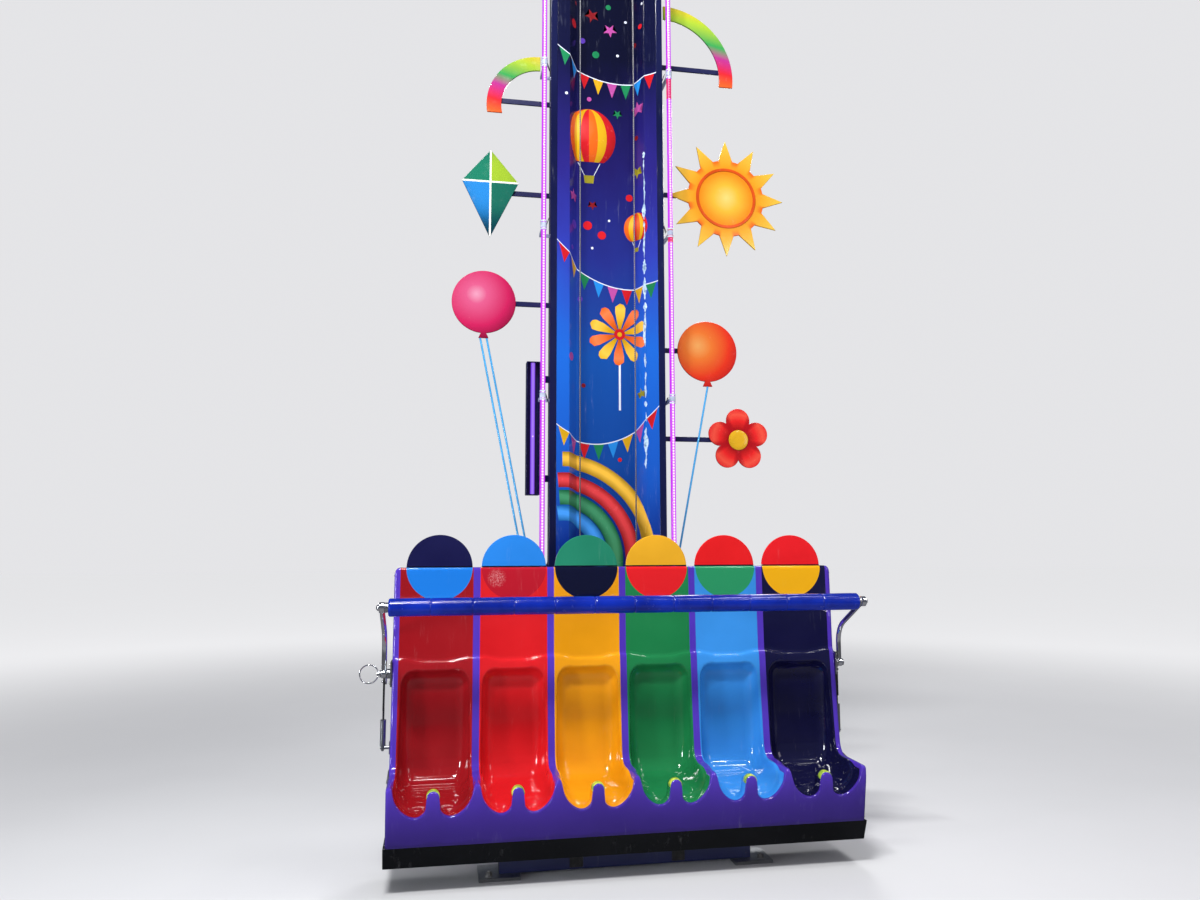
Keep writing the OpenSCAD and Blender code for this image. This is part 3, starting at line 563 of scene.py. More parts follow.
def bench_columns():
    """(x, distance from the seat's middle, seat, wrap angle) of every column, left to right."""
    half = half_columns()
    both = np.concatenate([-half[::-1], half[1:]])
    columns = []
    inner_edge = 2.5 * PITCH - COLOR_HALF
    end_middle = (END_COLOR_X + inner_edge) / 2
    stretch = (END_COLOR_X - inner_edge) / (2 * COLOR_HALF)
    for seat, u in product(range(6), both):
        x = seat_middle(seat) + u
        if seat in (0, 5):
            side = -1 if seat == 0 else 1
            if abs(u) <= COLOR_HALF + 1e-9:
                x = side * end_middle + u * stretch
            elif u * side > 0:
                continue
        if not columns or abs(x - columns[-1][0]) >= 1e-6:
            columns.append((x, abs(u), seat, 0.0))
    ends = [(END_COLOR_X + d, PITCH / 2, 5, 0.0) for d in (0.004, 0.01, HALF - END_R - END_COLOR_X)]
    ends += [(HALF - END_R + END_R * sin(a), PITCH / 2, 5, a) for a in np.radians([18, 36, 54, 72, 90])]
    left = [(-x, u, 0, a) for x, u, _, a in reversed(ends)]
    return left + columns + ends


def bench_profiles():
    """The shell's line over a rib and inside a bucket, row by row, in v and z."""
    head = np.concatenate([
        [[BACK_V, TOP_Z], [0.055, TOP_Z], [0.034, TOP_Z]],
        bend([0.03, TOP_Z], [0.015, TOP_Z], [0.014, TOP_Z - 0.016], 6),
        np.linspace([0.0135, TOP_Z - 0.03], [0.001, LEDGE_Z + 0.03], 8),
    ])
    shelf = np.concatenate([
        bend([0.0008, LEDGE_Z + 0.016], [0.0, LEDGE_Z + 0.003], [-0.0055, LEDGE_Z - 0.0015], 7),
        bend([-0.007, LEDGE_Z - 0.0028], [-0.0125, LEDGE_Z - 0.0075], [-0.014, LEDGE_Z - 0.03], 8),
    ])
    rib_z = np.linspace(BACK_TOP, 0.575, BACK_ROWS)
    rib_back = np.interp(rib_z, [0.575, 0.805, BACK_TOP], [-0.0555, -0.03, -0.0145])
    rib = np.concatenate([
        np.stack([rib_back, rib_z], 1),
        bend([-0.0572, 0.562], [-0.067, RIDGE_Z], [-0.128, RIDGE_Z], 12)[1:],
    ])
    bucket_z = np.linspace(BACK_TOP, 0.54, BACK_ROWS)
    bucket_v = np.interp(bucket_z, [0.54, 0.7, 0.86, 1.02], [0.0245, 0.037, 0.044, 0.046])
    bucket = np.concatenate([
        np.stack([bucket_v, bucket_z], 1),
        bend([0.0231, 0.527], [0.012, 0.428], [-0.087, 0.4196], 12)[1:],
    ])
    return head, shelf, rib, bucket


def bucket_depth(a, rib, bucket):
    """How far each row of a column lies from the rib's line towards the bucket's."""
    half_w = BUCKET_HALF + BUCKET_WIDENS * np.clip((0.95 - rib[:, 1]) / 0.3, 0, 1)
    z = (rib[:, 1] + bucket[:, 1]) / 2
    qx, qz = a - (half_w - BUCKET_CORNER), z - (BUCKET_TOP - BUCKET_CORNER)
    inside = np.where((qx > 0) & (qz > 0), BUCKET_CORNER - np.hypot(qx, qz),
                      np.minimum(half_w - a, BUCKET_TOP - z))
    return bowl(inside / BOWL_RUN)[:, None]


def front_lines(a, v0, z0):
    """The seat pan, the nose and the skirt of a column that starts at (v0, z0)."""
    lip, lip_post = scoop_line(a), post_line(a)
    round_r = 0.011 + 0.009 * float(ease((a - 0.165) / 0.01))
    v_end = float(skirt_v(lip_post - round_r)) + round_r
    post_v = np.linspace(POST_BACK, POST_BACK - 0.018, POST_ROWS)
    v = np.concatenate([v0 + (POST_BACK + 0.006 - v0) * steps_to(PAN_ROWS), post_v])
    v = np.concatenate([v, v[-1] + (v_end - v[-1]) * steps_to(NOSE_ROWS)])
    pan_weight = float(bowl((PAN_HALF - a) / BOWL_RUN))
    floor_z = RIDGE_Z + pan_weight * (PAN_Z + (v - 0.012) * PAN_SLOPE - RIDGE_Z)
    floor_z = z0 + (floor_z - z0) * np.clip((v0 - v) / 0.02, 0, 1)
    front = ease((-v - 0.19) / 0.125)
    floor_z = floor_z + (lip - floor_z) * front
    rise = ease((-v + POST_BACK) / 0.016)
    floor_z = floor_z + (lip_post - floor_z) * np.where(a < SCOOP_MIDDLE, rise, front * rise)
    turn = np.radians(90 * steps_to(6))
    nose = np.stack([v_end - round_r * np.sin(turn), lip_post - round_r * (1 - np.cos(turn))], 1)
    z_fall = lip_post - round_r + (SKIRT_Z - lip_post + round_r) * steps_to(8)
    skirt = np.stack([skirt_v(z_fall), z_fall], 1)
    return [np.stack([v, floor_z], 1), nose, skirt, np.array([[skirt[-1][0] + 0.014, SKIRT_Z]])]


def bench_grid():
    """Points of the bench as rows by columns, with each column's data and the lip's row."""
    columns = bench_columns()
    head, shelf, rib, bucket = bench_profiles()
    grid = []
    for x, a, seat, wrap in columns:
        body = rib + bucket_depth(a, rib, bucket) * (bucket - rib)
        dip = DIP * ease((0.172 - a) / 0.125)
        body[:, 1] -= dip * np.clip((body[:, 1] - DIP_START) / (BACK_TOP - DIP_START), 0, 1)
        line = np.concatenate([head, shelf - [0, dip], body, *front_lines(a, *body[-1])])
        over = abs(x) - (HALF - TOP_CORNER)
        if over > 0:
            drop = TOP_CORNER - sqrt(max(0.0, TOP_CORNER ** 2 - over ** 2))
            line[:, 1] -= drop * ease((line[:, 1] - TOP_ROUND_Z) / (TOP_Z - TOP_ROUND_Z))
        if wrap:
            way = np.gradient(line, axis=0)
            way /= np.linalg.norm(way, axis=1)[:, None] + 1e-12
            line = line + np.stack([-way[:, 1], way[:, 0]], 1) * END_R * (1 - cos(wrap))
        grid.append([(x, SEAT_Y + v, z) for v, z in line])
    grid = np.array(grid).transpose(1, 0, 2)
    pan_row = len(head) + len(shelf) + len(rib)
    lip_row = pan_row + PAN_ROWS + POST_ROWS + NOSE_ROWS - 1
    grid = smooth_front(grid, pan_row + 2, lip_row + 8)
    grid, columns = add_end_walls(grid, columns, pan_row, lip_row)
    return grid, columns, lip_row


def smooth_front(grid, first, last):
    """Rounds the edges of the front part a little."""
    rows = np.arange(grid.shape[0])
    amount = (0.45 * ease((rows - first) / 4) * ease((last - rows) / 3))[:, None, None]
    for _ in range(2):
        around = grid.copy()
        around[1:-1, 1:-1] = (grid[:-2, 1:-1] + grid[2:, 1:-1] + grid[1:-1, :-2] + grid[1:-1, 2:]) / 4
        around[:, :, 0] = grid[:, :, 0]
        grid = grid + amount * (around - grid)
    return grid


def add_end_walls(grid, columns, pan_row, lip_row):
    """Flat side walls from the rounded end columns back to the back panel."""
    rows = grid.shape[0]
    start = pan_row - 12
    target_z = grid[:, 0, 2].copy()
    target_z[start:lip_row + 1] = np.linspace(target_z[start - 1], WALL_FRONT_Z, lip_row + 1 - start)
    target_z[lip_row:] = np.linspace(WALL_FRONT_Z, SKIRT_Z, rows - lip_row)
    for side in (0, -1):
        edge = grid[:, side]
        back = np.stack([edge[:, 0], np.full(rows, SEAT_Y + BACK_V), target_z], 1)
        wall = [edge + (back - edge) * t for t in (0.12, 0.4, 0.7, 1.0)]
        extra = [columns[side]] * len(wall)
        if side == 0:
            grid = np.concatenate([np.stack(wall[::-1], 1), grid], 1)
            columns = extra + columns
        else:
            grid = np.concatenate([grid, np.stack(wall, 1)], 1)
            columns = columns + extra
    return grid, columns


def grid_normals(grid):
    down = np.gradient(grid, axis=0)
    right = np.gradient(grid, axis=1)
    normals = np.cross(down, right)
    return normals / (np.linalg.norm(normals, axis=2)[:, :, None] + 1e-12)


def shell_part(name, grid, normals, keep, material, slot, thickness=0.006):
    """One part of the grid as a closed shell: keep is True for each cell that belongs to it."""
    cells = np.argwhere(keep)
    cols = grid.shape[1]
    corners = ((0, 0), (1, 0), (1, 1), (0, 1))
    quads = np.stack([(cells[:, 0] + i) * cols + cells[:, 1] + j for i, j in corners], 1)
    used, quads = np.unique(quads, return_inverse=True)
    quads = quads.reshape(-1, 4)
    outer = grid.reshape(-1, 3)[used]
    out = normals.reshape(-1, 3)[used]
    count = len(used)
    edges = dict.fromkeys((q[i], q[(i + 1) % 4]) for q in quads.tolist() for i in range(4))
    rim = [(b, a, a + count, b + count) for a, b in edges if (b, a) not in edges]
    mesh = bpy.data.meshes.new(name)
    mesh.from_pydata(np.concatenate([outer, outer - out * thickness]).tolist(), [],
                     quads.tolist() + (quads[:, ::-1] + count).tolist() + rim)
    mesh.polygons.foreach_set("use_smooth", [True] * len(mesh.polygons))
    mesh.normals_split_custom_set_from_vertices(np.concatenate([out, -out]).tolist())
    mesh.materials.append(material)
    mesh.materials.append(fibre_inside)
    inner = [0] * len(quads) + [1] * len(quads) + [0] * len(rim)
    mesh.polygons.foreach_set("material_index", inner)
    return add_object(name, mesh, "gondola", slot)


SEAT_COLORS = [(0.3, 0.006, 0.01), (0.62, 0.01, 0.014), (0.75, 0.3, 0.005), (0.01, 0.185, 0.055),
               (0.036, 0.25, 0.67), (0.004, 0.004, 0.035)]
LOW_DISC_COLORS = [(0.01, 0.17, 0.62), (0.42, 0.008, 0.02), (0.003, 0.004, 0.022), (0.66, 0.012, 0.016),
                   (0.02, 0.25, 0.1), (0.76, 0.37, 0.005)]
TOP_DISC_COLORS = [(0.006, 0.006, 0.055), (0.018, 0.21, 0.68), (0.015, 0.21, 0.12), (0.74, 0.37, 0.016),
                   (0.76, 0.011, 0.013), (0.72, 0.009, 0.014)]
VIOLET = (0.075, 0.032, 0.42)


def build_bench():
    grid, columns, lip_row = bench_grid()
    normals = grid_normals(grid)
    seats_of = np.full((grid.shape[0] - 1, grid.shape[1] - 1), -1)
    for c, ((_, a0, seat, _), (_, a1, next_seat, _)) in enumerate(zip(columns, columns[1:])):
        if max(a0, a1) <= COLOR_HALF + 1e-9 and seat == next_seat:
            seats_of[:lip_row, c] = seat
    for i, name in enumerate(SEATS):
        disc = (seat_middle(i), DISC_R, LOW_DISC_COLORS[i])
        rub = (seat_middle(i) - 0.09, TOP_Z - 0.055, 0.055) if i == 1 else None
        paint = gelcoat(f"{name}_gelcoat", SEAT_COLORS[i], i * 1.3, disc, rub)
        shell_part(f"{name}_moulding", grid, normals, seats_of == i, paint, name)
    # The violet moulding gets painted shade, darker towards its bottom.
    shell = gelcoat("shell_gelcoat", VIOLET, 0.7, painted_shade=(0.22, 0.56, 0.36))
    shell_part("bench_moulding", grid, normals, seats_of == -1, shell, "bench_shell")


def build_post_caps():
    """Moulded rubber caps over the posts' tips."""
    shape = Shape()
    wall = 0.0035
    r = POST_R + wall
    y_front, y_back = SEAT_Y + NOSE_V + 0.009, SEAT_Y + NOSE_V + 0.046
    steps = ((0, -0.006), (0.03, -0.002), (0.08, 0), (0.5, 0), (0.92, 0), (0.97, -0.002), (1, -0.007))
    for i in range(6):
        centre = (seat_middle(i) + {0: -0.01125, 5: 0.01125}.get(i, 0), POST_TOP - POST_R)
        rings = []
        for t, grow in steps:
            y = y_front + (y_back - y_front) * t
            outer = arc_points(centre, r + grow, -18, 198, 17)
            inner = arc_points(centre, r - wall - 0.001 + min(grow, 0), 198, -18, 17)
            rings.append([(x, y, z) for x, z in outer + inner])
        shape.rings(rings)
    tones = [(0.35, (0.1, 0.22, 0.03)), (0.55, (0.45, 0.58, 0.05)), (0.75, (0.75, 0.72, 0.1))]
    yellow_green = mottled("cap_rubber", 0.35, (38, 4, 0.6), tones, (150, 3), 0.0006, 0.7)
    shape.make("post_cap_mouldings", yellow_green, "gondola", "post_tips", 50, replaces=True)


def build_discs():
    """The half discs that stand on the bench's top edge, each a bevelled plate."""
    low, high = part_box("back_discs")
    edge = 0.0022
    for i in range(6):
        rings = []
        for y, grow in ((low.y, -edge), (low.y + edge, 0), (high.y - edge, 0), (high.y, -edge)):
            outline = arc_points((seat_middle(i), TOP_Z), DISC_R + grow, 0, 180, 73)
            rings.append([(x, y, max(z, TOP_Z + 0.0006)) for x, z in reversed(outline)])
        shape = Shape()
        shape.rings(rings)
        # Each disc gets a painted shadow line along its foot, where it meets the bench's top edge.
        paint = gelcoat(f"disc_{i + 1}_gloss", TOP_DISC_COLORS[i], 3 + i * 0.7, foot=TOP_Z + 0.007)
        shape.make(f"top_disc_{i + 1}", paint, "gondola", "back_discs", 25, replaces=True)


# The lap bar

def pad_radius(x, t, d, inner_joint, folds):
    """Radius of the pad at x and the angle t, at a distance d from the nearest joint of the sleeves."""
    full = PAD_R - 0.0004
    end_r = 0.009
    edge = min(PAD_HALF - abs(x), end_r)
    end_cut = end_r - sqrt(max(0.0, end_r ** 2 - (end_r - edge) ** 2))
    r = full - 0.0007
    if inner_joint:
        r -= 0.0026 * exp(-(d / 0.0035) ** 2)
        r -= 0.0006 * (d > 0) * exp(-abs(d) / 0.02)
    pucker = sum(s * cos(n * t + p) for n, p, s in folds)
    r += 0.00042 * pucker * exp(-abs(d) / 0.02) * (1 if inner_joint else 0.5)
    r += 0.0003 * sin(3 * t + 9 * x) * sin(23 * x)
    r -= 0.001 * exp(-((t - 3.7) / 0.05) ** 2)
    return min(r, full) - end_cut


def build_pad():
    """The bar's foam, wrapped in short vinyl sleeves that are drawn tight at their joints."""
    sleeves, sides, core_r = 12, 56, 0.0246
    joints = [-PAD_HALF + 2 * PAD_HALF / sleeves * k for k in range(sleeves + 1)]
    rng = random.Random(5)
    folds = [[(rng.choice((3, 4, 5, 7, 9)), rng.uniform(0, TAU), rng.uniform(0.3, 1.0)) for _ in range(4)]
             for _ in joints]
    steps = (0, 0.0015, 0.003, 0.0045, 0.0065, 0.009, 0.012, 0.016, 0.021, 0.027, 0.035, 0.046, 0.06, 0.08)
    xs = {round(joint + side * d, 5) for joint in joints for d in steps for side in (-1, 1)
          if abs(joint + side * d) <= PAD_HALF}
    rings = []
    for x in sorted(xs):
        k = min(range(len(joints)), key=lambda j: abs(x - joints[j]))
        ring = []
        for t in turns(sides):
            r = pad_radius(x, t, x - joints[k], 0 < k < sleeves, folds[k])
            ring.append((x, BAR.y + r * cos(t), BAR.z + r * sin(t)))
        rings.append(ring)
    core = circle(BAR.y, BAR.z, core_r, sides)
    rings = [[(-PAD_HALF, y, z) for y, z in core], *rings, [(PAD_HALF, y, z) for y, z in core]]
    shape = Shape()
    shape.rings([ring[::-1] for ring in rings])
    p = Paint("pad_vinyl", (0.003, 0.02, 0.36), specular_ior_level=0.45)
    p.color(p.ramp(p.noise(5, 4), [(0.3, (0.0015, 0.01, 0.19)), (0.7, (0.003, 0.023, 0.37))]))
    p.bump(p.noise(420, 3, 0.6), 0.00022, 0.6)
    p.gloss(0.16, (26, 5, 0.7), 0.78, (40, 3, 0.5, (0.4, 1, 1)), 0.0009, 0.35)
    made = shape.make("lap_bar_sleeves", p.material, "lap_bar", "lap_bar_pad", 60, replaces=True)


def bent_path(points, radius, steps=14):
    """Points in Y and Z with each inner corner rounded to the radius."""
    points = [Vector(p) for p in points]
    path = [points[0]]
    for a, b, c in zip(points, points[1:], points[2:]):
        u, w = (a - b).normalized(), (c - b).normalized()
        half = u.angle(w) / 2
        centre = b + (u + w).normalized() * radius / sin(half)
        run = radius / tan(half)
        start, stop = b + u * run - centre, b + w * run - centre
        turn = start.angle_signed(stop)
        for i in range(steps + 1):
            t = -turn * i / steps
            across, up = cos(t), sin(t)
            path.append(centre + Vector((start.x * across - start.y * up, start.x * up + start.y * across)))
    return path + [points[-1]]


def lever_outline(root, tip, root_r=0.0165, tip_r=0.0135):
    """A flat link with a round end at each pin."""
    way = (tip - root).normalized()
    across = Vector((-way.y, way.x))
    half_turn = np.linspace(-pi / 2, pi / 2, 13)
    outline = [tip + (way * cos(a) + across * sin(a)) * tip_r for a in half_turn]
    return outline + [root + (-way * cos(a) + across * sin(a)) * root_r for a in half_turn[::-1]]


def build_arms():
    """The chromed arms with their hubs, strut levers and the clamps that hold the bar."""
    hub_half, tube_r, knee, knee_r = 0.013, 0.013, 0.185, 0.13
    lever_r, lever_angle = 0.06, radians(-47.5)
    lever_thick, lever_ease = 0.008, 0.001
    arm_x = high_of("lap_bar_arms").x - hub_half
    root = Vector((PIVOT.y, PIVOT.z))
    tip = Vector((PIVOT.y + lever_r * cos(lever_angle), PIVOT.z + lever_r * sin(lever_angle)))
    path = bent_path([root, (PIVOT.y, PIVOT.z + knee), (BAR.y, BAR.z)], knee_r)
    fine = [path[0].lerp(path[1], t) for t in np.linspace(0, 0.9, 6)] + path[1:-1]
    fine += [path[-2].lerp(path[-1], t) for t in np.linspace(0.1, 1, 8)]
    pin = [(0, 0.006), (0.0175, 0.006), (0.0188, 0.0048)]
    shape = Shape()
    for side in (-1, 1):
        x = side * arm_x
        inner = x - side * hub_half
        out = Vector((side, 0, 0))
        shape.tube([(x, p.x, p.y) for p in fine], tube_r, 28)
        for place, r in ((PIVOT, 0.0218), (BAR, 0.0258)):
            hub = [(0, r - 0.0023), (0.0015, r), (0.0245, r), (0.026, r - 0.0023)]
            shape.turned((inner, place.y, place.z), out, hub, 36)
        outline = lever_outline(root, tip)
        if side > 0:
            shape.prism(outline, (inner, 0, 0), (0, 1, 0), (0, 0, 1), lever_thick, lever_ease)
        else:
            flipped = [(p.y, p.x) for p in outline]
            shape.prism(flipped, (inner, 0, 0), (0, 0, 1), (0, 1, 0), lever_thick, lever_ease)
        shape.turned((x - side * 0.006, tip.x, tip.y), out, pin, 20)
    shape.make("lap_bar_arm_tubes", chrome("arm_chrome"), "lap_bar", "lap_bar_arms", 40, replaces=True)


def build_caps():
    """Domed chromed caps on the bar's ends."""
    cap_x = high_of("lap_bar_caps").x - 0.014
    cap_r = 0.015
    dome = [(0.004 + 0.0098 * sin(a), cap_r * cos(a)) for a in np.radians(np.linspace(0, 88, 9))]
    shape = Shape()
    for side in (-1, 1):
        shape.turned((side * cap_x, BAR.y, BAR.z), (side, 0, 0), [(0.0, cap_r), *dome], 28)
    shape.make("lap_bar_end_caps", chrome("cap_chrome"), "lap_bar", "lap_bar_caps", 50, replaces=True)


# The column's print, laid over the folded front plate

def fold_values():
    """Depths of the plate's face and floor, and half widths of the mouth, the floor and the face."""
    co = np.array([v.co for v in nodes["front_plate"].data.vertices])
    wall = 0.008
    front, floor_y = co[:, 1].min(), co[:, 1].max() - wall
    face, floor = (np.abs(co[np.abs(co[:, 1] - y) < 1e-4][:, 0]) for y in (front, floor_y))
    return front, floor_y, face.min(), floor.max(), face.max()


FRONT_Y, FLOOR_Y, MOUTH, FLOOR_HALF, COLUMN_HALF = (float(v) for v in fold_values())
SLANT = hypot(MOUTH - FLOOR_HALF, FLOOR_Y - FRONT_Y)
FACE_START = FLOOR_HALF + SLANT
FOLDS = [-FACE_START, -FLOOR_HALF, FLOOR_HALF, FACE_START]
PLATE_HALF = FACE_START + COLUMN_HALF - MOUTH
LIFT, LIFT_STEP = 0.0002, 0.00025
TRACK_LIFT, TRACK_STEP = 0.0001, 0.00003


def on_plate(a, lift):
    """The point at a distance a across the unfolded front plate, raised from it."""
    d = abs(a)
    slope = Vector((MOUTH - FLOOR_HALF, FRONT_Y - FLOOR_Y)) / SLANT
    flat, slant = Vector((0, -1)), Vector((slope.y, -slope.x))
    if d <= FLOOR_HALF:
        base, out, fold = Vector((d, FLOOR_Y)), flat, FLOOR_HALF
    elif d < FACE_START - 1e-6:
        base, out, fold = Vector((FLOOR_HALF, FLOOR_Y)) + slope * (d - FLOOR_HALF), slant, None
    else:
        base, out, fold = Vector((MOUTH + d - FLOOR_HALF - SLANT, FRONT_Y)), flat, FACE_START
    if fold and abs(d - fold) < 1e-6:
        out = (flat + slant) / (1 + flat.dot(slant))
    p = base + out * lift
    return (p.x if a >= 0 else -p.x, p.y)


class Print:
    """Flat printed shapes in a (across) and z, folded onto the front plate."""

    def __init__(self):
        self.mesh = bmesh.new()

    def shape(self, outline, mark, level):
        outline = [(min(max(a, -PLATE_HALF), PLATE_HALF), z) for a, z in outline]
        patch = bmesh.new()
        face = patch.faces.new([patch.verts.new((a, 0, z)) for a, z in outline])
        bmesh.ops.triangulate(patch, faces=[face])
        for cut in FOLDS:
            bmesh.ops.bisect_plane(patch, geom=patch.verts[:] + patch.edges[:] + patch.faces[:],
                                   plane_co=(cut, 0, 0), plane_no=(1, 0, 0), dist=1e-6)
        lift, track_lift = LIFT + LIFT_STEP * level, TRACK_LIFT + TRACK_STEP * level
        copies = {}
        for v in patch.verts:
            under_rollers = abs(v.co.x) > FACE_START - 1e-6
            x, y = on_plate(v.co.x, track_lift if under_rollers else lift)
            copies[v] = self.mesh.verts.new((x, y, v.co.z))
        for f in patch.faces:
            made = self.mesh.faces.new([copies[v] for v in f.verts])
            made.material_index = mark
        patch.free()

    def finish(self, name, materials):
        bmesh.ops.recalc_face_normals(self.mesh, faces=self.mesh.faces)
        for f in self.mesh.faces:
            if f.normal.y > 0:
                f.normal_flip()
        mesh = bpy.data.meshes.new(name)
        self.mesh.to_mesh(mesh)
        self.mesh.free()
        for m in materials:
            mesh.materials.append(m)
        add_object(name, mesh, "tower", "front_plate", replaces=False)


def star(a, z, r, turn, depth=0.4):
    tips = [(turn + pi * i / 5, r * (depth if i % 2 else 1)) for i in range(10)]
    return [(a + far * sin(t), z + far * cos(t)) for t, far in tips]


PRINT_COLORS = {
    "red": (0.56, 0.011, 0.017), "yellow": (0.68, 0.37, 0.009), "green": (0.012, 0.2, 0.075),
    "sky": (0.018, 0.24, 0.7), "pink": (0.45, 0.07, 0.32), "maroon": (0.2, 0.008, 0.012),
    "olive": (0.3, 0.26, 0.02), "orange": (0.7, 0.115, 0.009), "white": (0.75, 0.8, 0.92),
    "violet": (0.1, 0.04, 0.4),
}
RAINBOW = ((-0.3, 1.52), 0.085, (("yellow", 0.62), ("red", 0.5), ("green", 0.4), ("sky", 0.31)))
BALLOONS = ((-0.1, 4.08, 0.165), (0.2, 3.52, 0.085))
PINWHEEL = ((0.085, 2.86), 0.19)
BALLOON_TONES = [(0.0, 1.22), (0.35, 1.0), (0.75, 0.7), (1.0, 0.4)]
ARC_TONES = [(0.0, 0.45), (0.45, 1.15), (0.65, 1.15), (1.0, 0.5)]
BLADE_TONES = [(0.0, 0.45), (0.35, 0.85), (0.8, 1.2), (1.0, 1.0)]


def print_materials():
    """Foils by name: plain ones, and airbrushed ones for each large motif."""
    made = {n: foil(f"print_{n}", c) for n, c in PRINT_COLORS.items()}

    def airbrush(color, motif, *values, number=""):
        name = f"{motif}_{color}{number}"
        made[f"{color}_{motif}{number}"] = foil_round(name, PRINT_COLORS[color], *values)

    for (k, (a, z, r)), n in product(enumerate(BALLOONS), ("orange", "yellow", "red")):
        airbrush(n, "balloon", (a - 0.35 * r, z + 0.35 * r), 0, 1.6 * r, BALLOON_TONES, number=f"_{k}")
    centre, wide, arcs = RAINBOW
    for n, radius in arcs:
        airbrush(n, "arc", centre, radius - wide, radius, ARC_TONES)
    for n in ("orange", "yellow"):
        airbrush(n, "blade", PINWHEEL[0], 0, PINWHEEL[1], BLADE_TONES)
    return made


def build_print():
    """Balloons, pennants, a pinwheel, rainbow bands, stars and dots."""
    looks = print_materials()
    mark = {n: i for i, n in enumerate(looks)}
    sheet = Print()
    (a, z), wide, arcs = RAINBOW
    cuts = np.linspace(-0.15, pi / 2 + 0.2, 33)
    for (color, radius), (t0, t1) in product(arcs, list(zip(cuts, cuts[1:]))):
        ring = [(radius, t0), (radius, t1), (radius - wide, t1), (radius - wide, t0)]
        points = [(a + r * cos(t), z + r * sin(t)) for r, t in ring]
        if min(p[0] for p in points) > -PLATE_HALF:
            sheet.shape(points, mark[f"{color}_arc"], 1)
    (a, z), reach = PINWHEEL
    blade = ((0.4, -0.2), (0.72, -0.19), (0.9, -0.15), (1.0, 0.02), (0.97, 0.14), (0.88, 0.22),
             (0.62, 0.28), (0.35, 0.26))
    for k, turn in enumerate(turns(10)):
        edge = [(a + reach * s * sin(turn + d), z + reach * s * cos(turn + d)) for s, d in blade]
        sheet.shape([(a, z), *edge], mark["orange_blade" if k % 2 else "yellow_blade"], 2)
    sheet.shape(circle(a, z, 0.034), mark["red"], 4)
    sheet.shape(circle(a, z, 0.014), mark["yellow"], 5)
    stick = [(a + da, z) for da, z in ((-0.006, 2.4), (0.006, 2.4), (0.006, 2.7), (-0.006, 2.7))]
    sheet.shape(stick, mark["white"], 1)
    for k, values in enumerate(BALLOONS):
        balloon(sheet, mark, *values, k)
    pennants(sheet, mark, 3.4, 3.18, 0.13, ["red", "yellow", "green", "sky", "pink"])
    pennants(sheet, mark, 2.3, 2.42, 0.16, ["yellow", "pink", "red", "green", "sky"])
    pennants(sheet, mark, 4.62, 4.5, 0.11, ["green", "sky", "red", "yellow", "pink"])
    scatter(sheet, mark, random.Random(11))
    sheet.finish("column_print", looks.values())


def scatter(sheet, mark, rng):
    """Stars and dots between the large motifs, closer together higher up."""
    taken = [(-0.1, 4.00, 0.27), (0.2, 3.49, 0.15), (0.085, 2.86, 0.22), (0.085, 2.53, 0.1)]
    for a in np.linspace(-PLATE_HALF, PLATE_HALF, 9):
        taken += [(a, 3.22, 0.13), (a, 2.27, 0.13), (a, 4.46, 0.11)]
    (arc_a, arc_z), _, arcs = RAINBOW
    for _ in range(900):
        big = rng.random() < 0.5
        size = rng.uniform(0.026, 0.048) if big else rng.uniform(0.006, 0.028)
        a, z = rng.uniform(-PLATE_HALF + 0.05, PLATE_HALF - 0.05), rng.uniform(1.7, 6.2)
        if z < 4.6 and rng.random() < 0.55:
            continue
        if any(hypot(a - x, z - y) < r + size for x, y, r in taken):
            continue
        on_fold = min(abs(a - f) for f in FOLDS) < size * 0.9
        if on_fold or hypot(a - arc_a, z - arc_z) < arcs[0][1] + 0.02 + size:
            continue
        if big:
            color = rng.choice(["olive", "olive", "violet", "pink", "maroon", "green"])
            outline = star(a, z, size * 1.15, rng.uniform(0, TAU))
        else:
            color = rng.choice(["maroon", "violet", "pink", "red", "green"]) if size > 0.009 else "white"
            outline = circle(a, z, size, 24)
        sheet.shape(outline, mark[color], 3)
        taken.append((a, z, size + 0.045))


def balloon(sheet, mark, a, z, r, k):
    """A striped hot-air balloon with its basket."""
    gores = 6
    cuts = np.linspace(0.0, 2.55, 15)
    for gore in range(gores):
        left, right = -1 + 2 * gore / gores, -1 + 2 * (gore + 1) / gores
        color = ("orange", "yellow", "red")[gore % 3]
        for t0, t1 in zip(cuts, cuts[1:]):
            corners = [(left, t0), (left, t1), (right, t1), (right, t0)]
            points = [(a + w * sin(t) * r, z + cos(t) * r * 1.12) for w, t in corners]
            sheet.shape(points[:3] if t0 == 0 else points, mark[f"{color}_balloon_{k}"], 2)
    top, w, cord = z - r * 1.45, r * 0.2, 0.004
    foot, foot_w = top - w * 1.5, w * 0.8
    sheet.shape([(a - w, top), (a + w, top), (a + foot_w, foot), (a - foot_w, foot)], mark["olive"], 2)
    low_w, high_w, high_z = w * 0.95, r * 0.42, z - r * 0.98
    for s in (-1, 1):
        sheet.shape([(a + s * low_w, top), (a + s * (low_w - cord), top), (a + s * (high_w - cord), high_z),
                     (a + s * high_w, high_z)], mark["white"], 1)


def pennants(sheet, mark, left_z, right_z, sag, colors, count=8):
    """A string of pennants that hangs across the plate."""
    def line(a):
        t = (a + PLATE_HALF) / (2 * PLATE_HALF)
        return left_z + (right_z - left_z) * t - sag * 4 * t * (1 - t)

    across = np.linspace(-PLATE_HALF, PLATE_HALF, 40)
    string = [(a, line(a) + 0.003) for a in across] + [(a, line(a) - 0.003) for a in across[::-1]]
    sheet.shape(string, mark["white"], 3)
    for k in range(count):
        a0, a1 = (-PLATE_HALF + 2 * PLATE_HALF * (k + edge) / count for edge in (0.12, 0.88))
        middle = (a0 + a1) / 2
        flag = [(a0, line(a0)), (a1, line(a1)), (middle, line(middle) - 0.095)]
        sheet.shape(flag, mark[colors[k % len(colors)]], 2)


